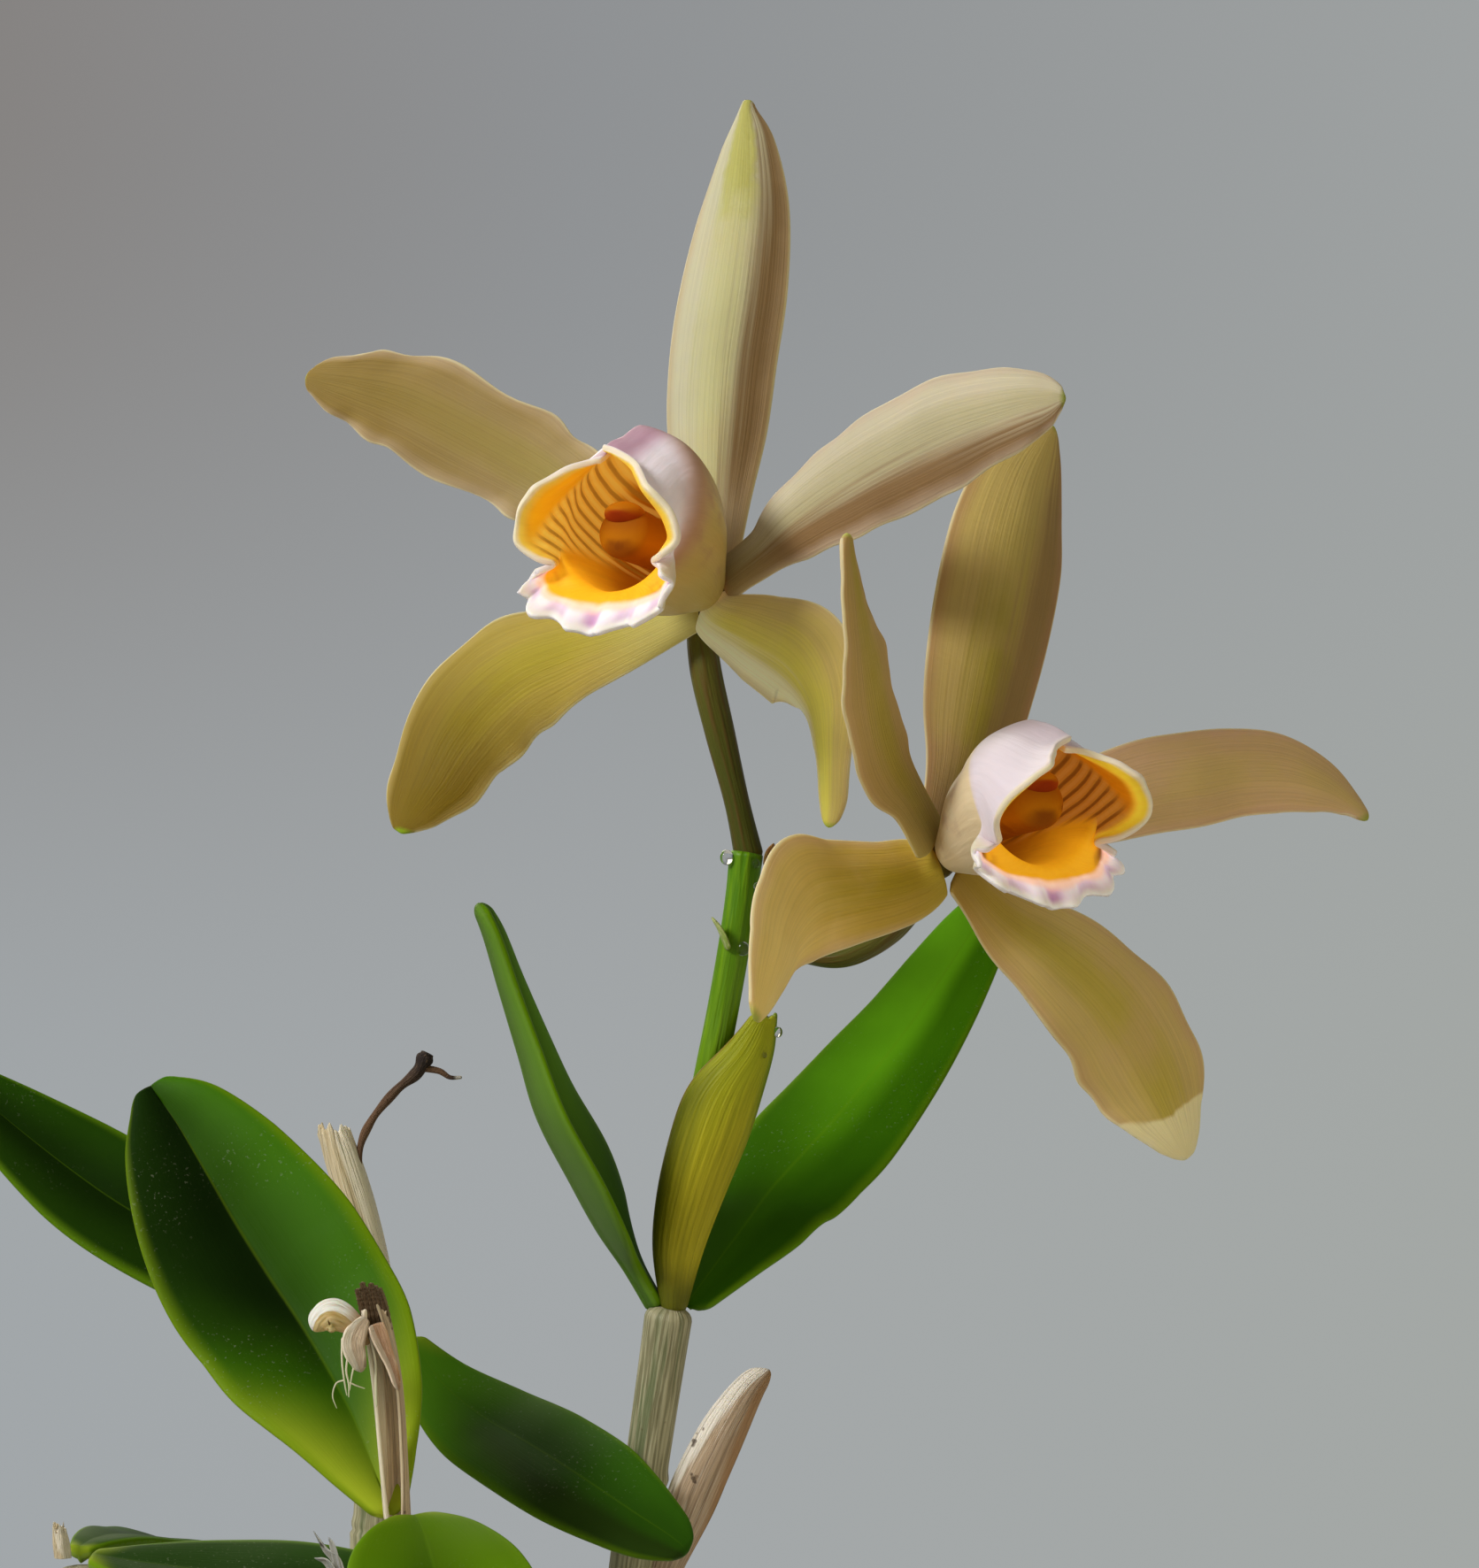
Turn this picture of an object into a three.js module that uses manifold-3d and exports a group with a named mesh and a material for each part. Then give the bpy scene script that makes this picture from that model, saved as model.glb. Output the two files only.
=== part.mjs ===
// A potted cattleya orchid with two open flowers: four slender canes on a creeping rhizome, each topped by
// a pair of leathery leaves, in a plain clay pot filled with bark. The tallest cane carries the flower stem,
// which comes out of a flattened green sheath and holds two flowers of five tepals, a rolled lip and a
// column each. Millimetres, +Z up. The origin is the middle of the pot's underside, and the flowers are seen
// best looking along +Y.
import * as THREE from "three";
import Module from "manifold-3d";
import { mergeVertices } from "three/addons/utils/BufferGeometryUtils.js";

const wasm = await Module();
wasm.setup();

// ---------------------------------------------------------------- driving dimensions

const POT = {
  height: 90,
  footRadius: 44,
  topRadius: 60,
  rimRadius: 65,
  rimHeight: 21,
  wall: 5,
  floor: 6,
};
const DRAIN_HOLE = { radius: 5, fromMiddle: 22, count: 3 };
const BARK = { top: 77, hump: 0.8, gap: 0.4, rings: 7, sectors: 28 };
const SEAT_GAP = 0.35; // clear distance between two pieces that touch on the plant
const CANE_FOOT = BARK.top + 5; // the canes start on top of the rhizome
const SHEET = { tepal: 1.1, leaf: 1.9, sheath: 0.6, lip: 0.7, husk: 0.7, bract: 0.5 }; // thicknesses

const COLOURS = {
  clay: [0xb5653f, 0.9],
  bark: [0x5b3d28, 0.95],
  rhizome: [0x8a8460, 0.8],
  root: [0xc9cbb8, 0.85],
  cane: [0xa9aa86, 0.75],
  leaf: [0x3f7d1f, 0.4],
  greenSheath: [0x8f8a1e, 0.5],
  husk: [0xb7a184, 0.85],
  stem: [0x2f7a1c, 0.45],
  pedicel: [0x5c6327, 0.5],
  tepal: [0xb5a562, 0.55],
  lip: [0xe3c9c0, 0.5],
  column: [0xd9a24a, 0.5],
  deadStem: [0x4a3326, 0.9],
};

// ---------------------------------------------------------------- helpers

// A point on the smooth curve through rows of numbers, at t from 0 to 1: a uniform Catmull-Rom curve with
// mirrored ends.
function along(rows, t) {
  const last = rows.length - 1;
  const place = Math.min(Math.max(t, 0), 1) * last;
  const i = Math.min(Math.floor(place), last - 1);
  const u = place - i;
  return rows[0].map((_, k) => {
    const b = rows[i][k];
    const c = rows[i + 1][k];
    const a = i > 0 ? rows[i - 1][k] : 2 * b - c;
    const d = i < last - 1 ? rows[i + 2][k] : 2 * c - b;
    const square = 2 * a - 5 * b + 4 * c - d;
    const cube = 3 * b - a - 3 * c + d;
    return 0.5 * (2 * b + (c - a) * u + square * u ** 2 + cube * u ** 3);
  });
}

const vector = (p) => new THREE.Vector3(p[0], p[1], p[2]);

function tangentOf(rows, t) {
  const step = 1e-3;
  const ahead = vector(along(rows, Math.min(1, t + step)));
  return ahead.sub(vector(along(rows, Math.max(0, t - step)))).normalize();
}

// One closed body from rings of equally many points, which run anticlockwise as seen from the last ring's
// side. Each end is closed by a fan, or, for the flat rings of a sheet, by a strip between its two faces.
function skin(rings, flat = false) {
  const n = rings[0].length;
  const points = rings.flat();
  const faces = [];
  for (let i = 0; i < rings.length - 1; i++)
    for (let k = 0; k < n; k++) {
      const a = i * n + k;
      const b = i * n + ((k + 1) % n);
      faces.push(a, b, b + n, a, b + n, a + n);
    }
  const last = (rings.length - 1) * n;
  if (flat) {
    for (let k = 0; k < n / 2 - 1; k++) {
      const across = n - 1 - k;
      faces.push(k, across, across - 1, k, across - 1, k + 1);
      faces.push(last + k, last + k + 1, last + across - 1, last + k, last + across - 1, last + across);
    }
  } else {
    const middle = (ring) => ring.reduce((sum, p) => sum.add(p), new THREE.Vector3()).divideScalar(n);
    points.push(middle(rings[0]), middle(rings.at(-1)));
    for (let k = 0; k < n; k++) {
      const next = (k + 1) % n;
      faces.push(last + n, next, k);
      faces.push(last + n + 1, last + k, last + next);
    }
  }
  const geometry = new THREE.BufferGeometry().setFromPoints(points);
  geometry.setIndex(faces);
  return geometry;
}

// A round stalk: stations of [x, y, z, radius] with a ring of points at each step.
function stalk(stations, steps, sides = 8) {
  let across = new THREE.Vector3(1, 0.3, 0.1);
  const rings = [];
  for (let i = 0; i <= steps; i++) {
    const t = i / steps;
    const tangent = tangentOf(stations, t);
    across = across.clone().addScaledVector(tangent, -across.dot(tangent)).normalize();
    const other = tangent.clone().cross(across);
    const [x, y, z, radius] = along(stations, t);
    rings.push(
      Array.from({ length: sides }, (_, k) => {
        const angle = (2 * Math.PI * k) / sides;
        return new THREE.Vector3(x, y, z)
          .addScaledVector(across, radius * Math.cos(angle))
          .addScaledVector(other, radius * Math.sin(angle));
      }),
    );
  }
  return skin(rings);
}

// A sheet with thickness on both sides of surface(t, s), t from 0 to 1 along it and s from -1 to 1 across
// it. It thins towards its long edges.
function sheet(surface, thickness, rows, columns) {
  const step = 1e-3;
  const rings = [];
  for (let i = 0; i <= rows; i++) {
    const t = i / rows;
    const front = [];
    const back = [];
    for (let k = 0; k <= columns; k++) {
      const s = (2 * k) / columns - 1;
      const lengthways = surface(Math.min(1, t + step), s).sub(surface(Math.max(0, t - step), s));
      const crossways = surface(t, Math.min(1, s + step)).sub(surface(t, Math.max(-1, s - step)));
      const normal = lengthways.cross(crossways).normalize();
      const half = (thickness / 2) * (0.45 + 0.55 * Math.sqrt(Math.max(0, 1 - s * s)));
      front.push(surface(t, s).addScaledVector(normal, half));
      back.push(surface(t, s).addScaledVector(normal, -half));
    }
    rings.push([...back, ...front.reverse()]);
  }
  return skin(rings, true);
}

// The direction that an angle turns from one direction towards another at right angles to it.
function between(from, to, angle) {
  return from.clone().multiplyScalar(Math.cos(angle)).addScaledVector(to, Math.sin(angle));
}

// A leaf, petal or sepal. Each station is [x, y, z, half width, roll in degrees]. face is the way its upper
// side looks before the roll. cup lifts both edges towards the face as a round hollow, fold lifts them as a
// straight V, and ruffle waves them.
function blade(shape, thickness, rows = 10, columns = 6) {
  const { stations, face, cup = 0, fold = 0, ruffle = 0, waves = 4 } = shape;
  const surface = (t, s) => {
    const [x, y, z, half, roll] = along(stations, t);
    const tangent = tangentOf(stations, t);
    const facing = vector(face).addScaledVector(tangent, -vector(face).dot(tangent)).normalize();
    const level = tangent.clone().cross(facing);
    const angle = THREE.MathUtils.degToRad(roll);
    const side = between(level, facing, angle);
    const normal = between(facing, level, -angle);
    const wave = ruffle * Math.abs(s) ** 3 * Math.sin(2 * Math.PI * waves * t + 1.5 * s);
    const lift = half * (cup * s * s + fold * Math.abs(s)) + wave * Math.min(1, half / 4);
    return new THREE.Vector3(x, y, z).addScaledVector(side, half * s).addScaledVector(normal, lift);
  };
  return sheet(surface, thickness, rows, columns);
}

// A sheath wrapped around an upright line. Each station is [x, y, z, half width, half depth, wrap in
// degrees], and the slit is opposite keel, the direction in degrees from +X that its closed side looks.
function wrap({ stations, keel }, thickness, rows = 7, columns = 12) {
  const turn = THREE.MathUtils.degToRad(keel);
  const surface = (t, s) => {
    const [x, y, z, width, depth, opening] = along(stations, t);
    const angle = THREE.MathUtils.degToRad(opening) * s;
    const out = width * Math.cos(angle);
    const aside = depth * Math.sin(angle);
    return new THREE.Vector3(
      x + out * Math.cos(turn) - aside * Math.sin(turn),
      y + out * Math.sin(turn) + aside * Math.cos(turn),
      z,
    );
  };
  return sheet(surface, thickness, rows, columns);
}

function solid(geometry) {
  const bare = geometry.clone();
  bare.deleteAttribute("normal");
  bare.deleteAttribute("uv");
  const merged = mergeVertices(bare, 1e-3);
  return new wasm.Manifold(
    new wasm.Mesh({
      numProp: 3,
      vertProperties: new Float32Array(merged.attributes.position.array),
      triVerts: new Uint32Array(merged.index.array),
    }),
  );
}

function geometryOf(manifold) {
  const mesh = manifold.getMesh();
  const made = new THREE.BufferGeometry();
  made.setAttribute("position", new THREE.BufferAttribute(new Float32Array(mesh.vertProperties), 3));
  made.setIndex(new THREE.BufferAttribute(new Uint32Array(mesh.triVerts), 1));
  return made;
}

const plant = new THREE.Group();

function piece(name, geometry, [colour, roughness], parent = plant) {
  const finish = new THREE.MeshStandardMaterial({ color: colour, roughness, metalness: 0 });
  const mesh = new THREE.Mesh(geometry, finish);
  mesh.name = name;
  parent.add(mesh);
  return mesh;
}

// ---------------------------------------------------------------- pot and bark

function pot() {
  const { height, footRadius, topRadius, rimRadius, rimHeight, wall, floor } = POT;
  const lip = 1.2;
  const profile = [
    [0, 0],
    [footRadius - lip, 0],
    [footRadius, lip],
    [topRadius, height - rimHeight],
    [rimRadius - lip, height - rimHeight],
    [rimRadius, height - rimHeight + lip],
    [rimRadius, height - lip],
    [rimRadius - lip, height],
    [topRadius - wall + lip, height],
    [topRadius - wall, height - lip],
    [footRadius - wall, floor],
    [0, floor],
  ].map(([r, z]) => new THREE.Vector2(r, z));
  const shell = new THREE.LatheGeometry(profile, 40);
  shell.rotateX(Math.PI / 2); // the lathe's axis is Y
  let body = solid(shell);
  for (let i = 0; i < DRAIN_HOLE.count; i++) {
    const angle = (2 * Math.PI * (i + 0.5)) / DRAIN_HOLE.count;
    const drill = new THREE.CylinderGeometry(DRAIN_HOLE.radius, DRAIN_HOLE.radius, 4 * floor, 20);
    drill.rotateX(Math.PI / 2);
    drill.translate(DRAIN_HOLE.fromMiddle * Math.cos(angle), DRAIN_HOLE.fromMiddle * Math.sin(angle), 0);
    body = body.subtract(solid(drill));
  }
  return geometryOf(body);
}

// The inside radius of the pot at a height above its floor.
function innerRadius(z) {
  const share = (z - POT.floor) / (POT.height - POT.floor);
  return POT.footRadius - POT.wall + (POT.topRadius - POT.footRadius) * share;
}

// The bark bed fills the pot. Its top is gently lumpy and level at the edge.
function barkHeight(x, y) {
  const edge = innerRadius(BARK.top) - BARK.gap;
  const lump = 1 + Math.sin(x / 7.3 + 1) * Math.cos(y / 6.1);
  return BARK.top - BARK.hump * lump * (1 - (x * x + y * y) / (edge * edge));
}

function barkBed() {
  const bottom = POT.floor + BARK.gap;
  const edge = innerRadius(BARK.top) - BARK.gap;
  const ring = (radius, z) =>
    Array.from({ length: BARK.sectors }, (_, k) => {
      const angle = (2 * Math.PI * k) / BARK.sectors;
      const x = radius * Math.cos(angle);
      const y = radius * Math.sin(angle);
      return new THREE.Vector3(x, y, z ?? barkHeight(x, y));
    });
  const rings = [ring(20, bottom), ring(innerRadius(bottom) - BARK.gap, bottom)];
  for (let i = 0; i < BARK.rings; i++) rings.push(ring(edge * (1 - i / BARK.rings)));
  return skin(rings);
}

piece("pot", pot(), COLOURS.clay);
piece("bark_bed", barkBed(), COLOURS.bark);

// ---------------------------------------------------------------- rhizome and roots

// Rows of [x, y, radius], laid on the bark. The creeping rhizome joins the feet of the four canes.
const RHIZOMES = {
  rhizome_back: [
    [-41, 4, 1.8],
    [-33, 8, 2.2],
    [-20, 15, 2],
    [-9, 20.5, 2.3],
    [2, 17, 2],
    [12.5, 10.5, 2.2],
    [20, 6, 1.2],
  ],
  rhizome_front: [
    [-28.4, 6.2, 1.8],
    [-19, -3, 2],
    [-7.5, -14, 2.3],
    [1, -21, 1.2],
  ],
};
// Each root leaves the rhizome and wanders over the bark.
const ROOTS = {
  root_right: [
    [20.6, 2.6, 1.2],
    [26, -4, 1.4],
    [34, -9, 1.4],
    [41, -17, 1.2],
    [42, -24, 0.8],
  ],
  root_front: [
    [1.6, -22.9, 1.2],
    [-4, -31, 1.4],
    [-1, -38, 1.3],
    [-7, -45, 0.8],
  ],
  root_left: [
    [-37, 2, 1.2],
    [-39, -6, 1.4],
    [-35, -16, 1.3],
    [-38, -26, 0.8],
  ],
  root_back: [
    [0, 21.1, 1.2],
    [7, 29, 1.4],
    [5, 37, 1.3],
    [12, 44, 0.8],
  ],
};
const onBark = ([x, y, radius]) => [x, y, barkHeight(x, y) + radius + 0.5, radius];
for (const [name, rows] of Object.entries(RHIZOMES))
  piece(name, stalk(rows.map(onBark), 14), COLOURS.rhizome);
for (const [name, rows] of Object.entries(ROOTS))
  piece(name, stalk(rows.map(onBark), 10, 6), COLOURS.root);

// ---------------------------------------------------------------- canes

// The canes are pseudobulbs: thin at the foot, a little swollen above the middle and jointed.
const CANES = {
  cane_flowering: { foot: [12, 10.5], top: [30.8, 1, 228], swell: 3.1 },
  cane_front: { foot: [-7, -14.5], top: [-1, -28, 204.6], swell: 3.3 },
  cane_back: { foot: [-9, 20.6], top: [-7.2, 24, 221], swell: 3.2 },
  cane_left: { foot: [-33, 8], top: [-44.4, 5, 194.6], swell: 3 },
};
for (const [name, { foot, top, swell }] of Object.entries(CANES)) {
  const at = (share, radius, bend = 0) => [
    foot[0] + (top[0] - foot[0]) * share + bend,
    foot[1] + (top[1] - foot[1]) * share,
    CANE_FOOT + (top[2] - CANE_FOOT) * share,
    radius,
  ];
  const lower = [at(0, 2.2), at(0.2, 2.4, -0.6), at(0.5, 2.7, -1)];
  const stations = [...lower, at(0.8, swell * 0.93, -0.5), at(1, swell * 0.95)];
  piece(name, stalk(stations, 12, 10), COLOURS.cane);
}

// ---------------------------------------------------------------- leaves

const LEAVES = {
  leaf_top_right: {
    face: [-0.35, -0.9, 0.25],
    fold: 0.22,
    stations: [
      [33.9, 3.2, 229.1, 1.4, 0],
      [37.8, 8, 233.4, 5.2, 0],
      [41.1, 12, 237.5, 7.4, 0],
      [44.1, 16, 241.2, 8.6, 0],
      [47.9, 19, 245.2, 9.1, 0],
      [51.8, 22.4, 249.1, 9.2, 0],
      [57, 27, 255, 8.5, 0],
      [62.1, 31, 261.2, 7.4, 0],
      [67.2, 35, 268.4, 6.1, 0],
      [71.5, 38, 274.8, 4.4, 0],
      [75, 40, 280, 1.6, 0],
    ],
  },
  leaf_top_left: {
    face: [0.86, 0, 0.5],
    fold: 0.36,
    stations: [
      [27.9, 1.6, 229.2, 1.2, 4],
      [26.1, 0.8, 232.8, 2.2, 4],
      [22.6, -0.6, 238, 6.8, 4],
      [19.3, -1.8, 244, 10.4, 4],
      [15.2, -3, 252, 10.2, 4],
      [12.8, -3.6, 260, 7.4, 4],
      [10.4, -4.2, 268, 5.1, 4],
      [8.5, -4.8, 274.5, 3.5, 4],
      [6.9, -5, 278.6, 1.6, 4],
    ],
  },
  leaf_front_tall: {
    face: [0.15, -0.95, 0.1],
    fold: 0.16,
    stations: [
      [-4.6, -26.8, 206.4, 1.6, 0],
      [-5.4, -24, 211, 5.4, 0],
      [-7.6, -20, 216.6, 9.6, 0],
      [-11, -15.4, 221.8, 12.2, 0],
      [-14.8, -11, 227, 12.9, 0],
      [-19.1, -7.4, 232.6, 13.2, 0],
      [-23.4, -4, 238.6, 12.2, 0],
      [-27.4, -1, 244.7, 10.2, 0],
      [-31.2, 2, 250.3, 7.2, 0],
      [-33.9, 4, 253.7, 3.8, 0],
      [-35, 5, 255.1, 1.6, 0],
    ],
  },
  leaf_front_low: {
    face: [0, -0.2, 1],
    fold: 0.2,
    stations: [
      [0.4, -31.6, 205.3, 1.6, 0],
      [1.2, -34.4, 205.6, 3.6, 0],
      [2.4, -39, 204.4, 7, 0],
      [4, -46, 201.6, 10.2, 0],
      [6, -54, 197, 11.6, 0],
      [8, -62, 191, 11, 0],
      [9.6, -69, 184.6, 8.6, 0],
      [10.8, -74, 179, 5, 0],
      [11.4, -77, 175.4, 1.6, 0],
    ],
  },
  leaf_back_left: {
    face: [0, -0.8, 0.6],
    fold: 0.2,
    stations: [
      [-10.2, 25.2, 222.4, 1.6, 0],
      [-17, 26.4, 225.4, 5.4, 0],
      [-25.5, 28, 229, 8, 0],
      [-33.5, 29.6, 233, 8.9, 0],
      [-41.7, 31, 237.3, 8.6, 0],
      [-49.5, 33, 242.4, 7.6, 0],
      [-58.4, 34.5, 249.2, 5.2, 0],
      [-64, 35.6, 254, 2.9, 0],
      [-67, 36, 256.8, 0.9, 0],
    ],
  },
  leaf_back_right: {
    face: [0.1, -0.75, 0.65],
    fold: 0.16,
    stations: [
      [-3.3, 22.2, 221.2, 1.4, 0],
      [0.8, 19, 215.6, 4.8, 0],
      [6.5, 13, 211.8, 7.2, 0],
      [13.1, 4.8, 209.2, 8.2, 0],
      [19.7, -3.1, 206.3, 8, 0],
      [25.9, -8.3, 203, 6.2, 0],
      [30.6, -10.6, 200.3, 4, 0],
      [33, -11.6, 198.5, 1.4, 0],
    ],
  },
  leaf_left_long: {
    face: [0, -0.3, 0.95],
    fold: 0.14,
    stations: [
      [-42.4, 2.2, 195.7, 1.6, 0],
      [-36, 1, 194.8, 5, 0],
      [-27, 0, 193.8, 8, 0],
      [-17, -2, 193.2, 9.2, 0],
      [-7, -4, 191.6, 8.8, 0],
      [2, -6, 188.6, 7.2, 0],
      [9, -7.5, 185, 4.2, 0],
      [13, -8.5, 182, 1.4, 0],
    ],
  },
  leaf_left_short: {
    face: [0.2, 0.3, 0.9],
    fold: 0.16,
    stations: [
      [-44.6, 8.6, 195.4, 1.6, 0],
      [-43, 12, 196, 3.2, 0],
      [-41, 18, 195.6, 4.8, 0],
      [-38.8, 26, 194, 6.2, 0],
      [-36, 35, 192, 7.6, 0],
      [-34, 43, 188, 6, 0],
      [-32.6, 49, 184.6, 1.6, 0],
    ],
  },
};
for (const [name, leaf] of Object.entries(LEAVES)) piece(name, blade(leaf, SHEET.leaf), COLOURS.leaf);

// ---------------------------------------------------------------- sheaths and old husks

const SHEATHS = {
  flower_sheath: {
    keel: -8,
    stations: [
      [31.2, 1, 228.9, 1.9, 1.8, 168],
      [31.8, 0.8, 235, 3, 2.9, 168],
      [33.4, 0.4, 242, 4.1, 3.3, 168],
      [35.6, 0.2, 249, 4.8, 3.5, 166],
      [37.4, 0, 255, 4.9, 3.6, 148],
      [39.2, 0, 260, 4.2, 3.4, 104],
      [41.4, 0, 264.4, 2.2, 2.9, 82],
    ],
  },
  dry_sheath_front: {
    keel: 60,
    stations: [
      [-0.8, -28.7, 205.4, 1.5, 1.4, 160],
      [-0.8, -28.7, 212, 2, 1.7, 150],
      [-1.4, -28.7, 220, 2.4, 1.9, 150],
      [-2.4, -28.6, 227, 2.4, 1.7, 140],
      [-2.8, -28.5, 231.6, 1.9, 1.2, 130],
    ],
  },
  dry_sheath_back: {
    keel: 150,
    stations: [
      [-7.2, 24.2, 221.9, 1.5, 1.4, 160],
      [-8, 24.2, 229, 2.1, 1.9, 150],
      [-10, 24.2, 237, 2.4, 2.2, 140],
      [-12, 24.2, 244, 2.2, 2.2, 120],
      [-13.4, 24.2, 248.6, 1.6, 2, 100],
    ],
  },
  dry_sheath_left: {
    keel: 200,
    stations: [
      [-46, 4.6, 195.5, 0.9, 0.8, 150],
      [-46.2, 4.4, 197.4, 0.9, 0.8, 150],
      [-46.4, 4.2, 199.4, 0.7, 0.6, 140],
    ],
  },
};
for (const [name, sheath] of Object.entries(SHEATHS)) {
  const colour = name === "flower_sheath" ? COLOURS.greenSheath : COLOURS.husk;
  piece(name, wrap(sheath, name === "flower_sheath" ? SHEET.sheath : SHEET.husk), colour);
}
const FLAPS = {
  curled_husk: {
    face: [0, -1, 0.2],
    cup: 0.5,
    stations: [
      [-5.4, -29.6, 226.6, 0.8, 0],
      [-6.6, -30, 228.2, 1.5, 0],
      [-8.2, -30.4, 229, 1.9, 0],
      [-9.8, -30.2, 228.4, 1.6, 0],
      [-10.6, -29.6, 227, 0.8, 0],
    ],
  },
  cane_husk: {
    face: [-0.2, 0.95, 0.2],
    cup: 0.45,
    stations: [
      [31.4, 1.8, 196.5, 1.5, 0],
      [33.4, 1.2, 202, 3.1, 0],
      [35.4, 0.8, 206.8, 3.4, 0],
      [38.2, 0.6, 212.6, 2.9, 0],
      [41, 0.4, 217.4, 2.1, 0],
      [43.3, 0.4, 219.8, 1.1, 0],
    ],
  },
};
for (const [name, flap] of Object.entries(FLAPS)) piece(name, blade(flap, SHEET.husk, 8, 4), COLOURS.husk);
piece(
  "dead_flower_stem",
  stalk(
    [
      [-7.2, 24.1, 221.8, 0.5],
      [-8.2, 24, 231, 0.5],
      [-10, 23.6, 240, 0.5],
      [-10, 23.4, 245.6, 0.5],
      [-8.4, 23.4, 249.6, 0.55],
      [-5.3, 23.4, 253.4, 0.6],
      [-2.6, 23.4, 255.7, 0.8],
      [-1.5, 23.4, 257.6, 1.1],
      [-1.1, 23.4, 258.4, 0.8],
    ],
    18,
    6,
  ),
  COLOURS.deadStem,
);

// ---------------------------------------------------------------- flower stem

piece(
  "flower_stem",
  stalk(
    [
      [31.2, 1, 228.4, 0.8],
      [32.2, 0.8, 240, 1.8],
      [34.4, 0.3, 250, 2],
      [36, 0, 258, 2],
      [37.4, 0, 265, 2],
      [38.8, 0, 273, 2],
      [39.8, 0, 280, 2],
      [40.3, 0, 284, 2.1],
    ],
    16,
    10,
  ),
  COLOURS.stem,
);
const BRACTS = {
  bract_upper: {
    face: [-1, 0.4, 0.6],
    cup: 0.3,
    stations: [
      [43, -0.5, 283, 0.9, 0],
      [43.4, -0.6, 284.6, 1.1, 0],
      [43.8, -0.7, 286, 0.4, 0],
    ],
  },
  bract_lower: {
    face: [1, 0.2, 0.6],
    cup: 0.3,
    stations: [
      [36.7, -2, 273.4, 0.9, 0],
      [36.4, -2.1, 274.8, 1.1, 0],
      [36.4, -2.2, 276.4, 0.4, 0],
    ],
  },
};
for (const [name, bract] of Object.entries(BRACTS))
  piece(name, blade(bract, SHEET.bract, 4, 4), COLOURS.greenSheath);

// ---------------------------------------------------------------- flowers

// The lip's cross-sections hold [forward, aside, up], from the keel round to the top seam. It is a rolled
// tube over the column that opens into two side lobes and a frilled middle lobe.
const LIP_STEPS = 15;
const oval = (forward, half, middle, tall) =>
  Array.from({ length: LIP_STEPS + 1 }, (_, k) => {
    const angle = (Math.PI * 0.985 * k) / LIP_STEPS;
    return [forward, Math.max(half * Math.sin(angle), 0.35), middle - tall * Math.cos(angle)];
  });

function lipSections({ reach, crown, size }) {
  const sections = [
    oval(1.4, 3, 0.3, 3.1),
    oval(5, 5.2, 1.6, 5.6),
    oval(9, 7.6, 3.4, 8.6),
    oval(13, 9, 4.6, 10),
    oval(17, 9.4, 4.9, 10.6),
    oval(20.5, 8.8, 3.7, 9.4),
    [
      [22.4, 0, -7],
      [22.4, 3.4, -6.8],
      [22.2, 6.4, -6.2],
      [21.8, 8.2, -4.8],
      [21.4, 8.9, -3.4],
      [21, 8.7, -2],
      [21.2, 8.1, -1.2],
      [22.4, 8.8, -0.4],
      [23.4, 9.7, 0.9],
      [24.6, 9.6, 2.6],
      [25.4, 8.6, 4.4],
      [25.4, 7.2, 6.2],
      [24.6, 5.6, 7.9],
      [23.8, 3.9, 9.6],
      [23, 2, 11.2],
      [22.6, 0.35, 12],
    ],
    [
      [24.8, 0, -11.2],
      [24.8, 3.6, -10.8],
      [25, 7.4, -9.7],
      [24.6, 10, -7.8],
      [24.2, 10.7, -5.6],
      [24, 9.4, -3.6],
      [23.2, 7.2, -2.5],
      [24.6, 8.9, -2],
      [25.8, 11.3, -0.2],
      [26.8, 10.9, 2.4],
      [28.2, 9.2, 4.4],
      [28.8, 7.6, 5.6],
      [27.8, 6.2, 7.1],
      [26.4, 4.2, 8.6],
      [25.2, 1.9, 9.7],
      [24.6, 0.35, 10.1],
    ],
  ];
  // reach moves the middle lobe forward, crown raises the roof and size scales the whole lip.
  return sections.map((section, i) =>
    section.map(([forward, aside, up], k) => {
      const late = Math.max(0, i - 4) / (sections.length - 5);
      const middleLobe = late * Math.max(0, 1 - k / 9);
      return [size * (forward + reach * middleLobe), size * aside, size * (up > 0 ? up * crown : up)];
    }),
  );
}

function lip(sections) {
  const surface = (t, s) => {
    const here = sections.map((section) => along(section, Math.abs(s)));
    const [forward, aside, up] = along(here, t);
    return new THREE.Vector3(Math.sign(s) * aside, -forward, up);
  };
  return sheet(surface, SHEET.lip, 11, 2 * LIP_STEPS);
}

// One flower. The lip, column and anther cap are made looking along -Y and turned to where the lip looks.
// Each tepal starts on a small circle round the centre, at its clock angle in degrees, and its other
// stations are in the plant's own frame.
const TEPAL_FOOT = { circle: 3, half: 1.3 };
const SEAT = 1.15; // how far behind the tepals' feet the top of the flower's stalk is

function compass({ centre, looks }) {
  const ahead = vector(looks).normalize();
  const up = new THREE.Vector3(0, 0, 1).addScaledVector(ahead, -ahead.z).normalize();
  const right = up.clone().cross(ahead);
  return { middle: vector(centre), ahead, up, right };
}

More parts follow.
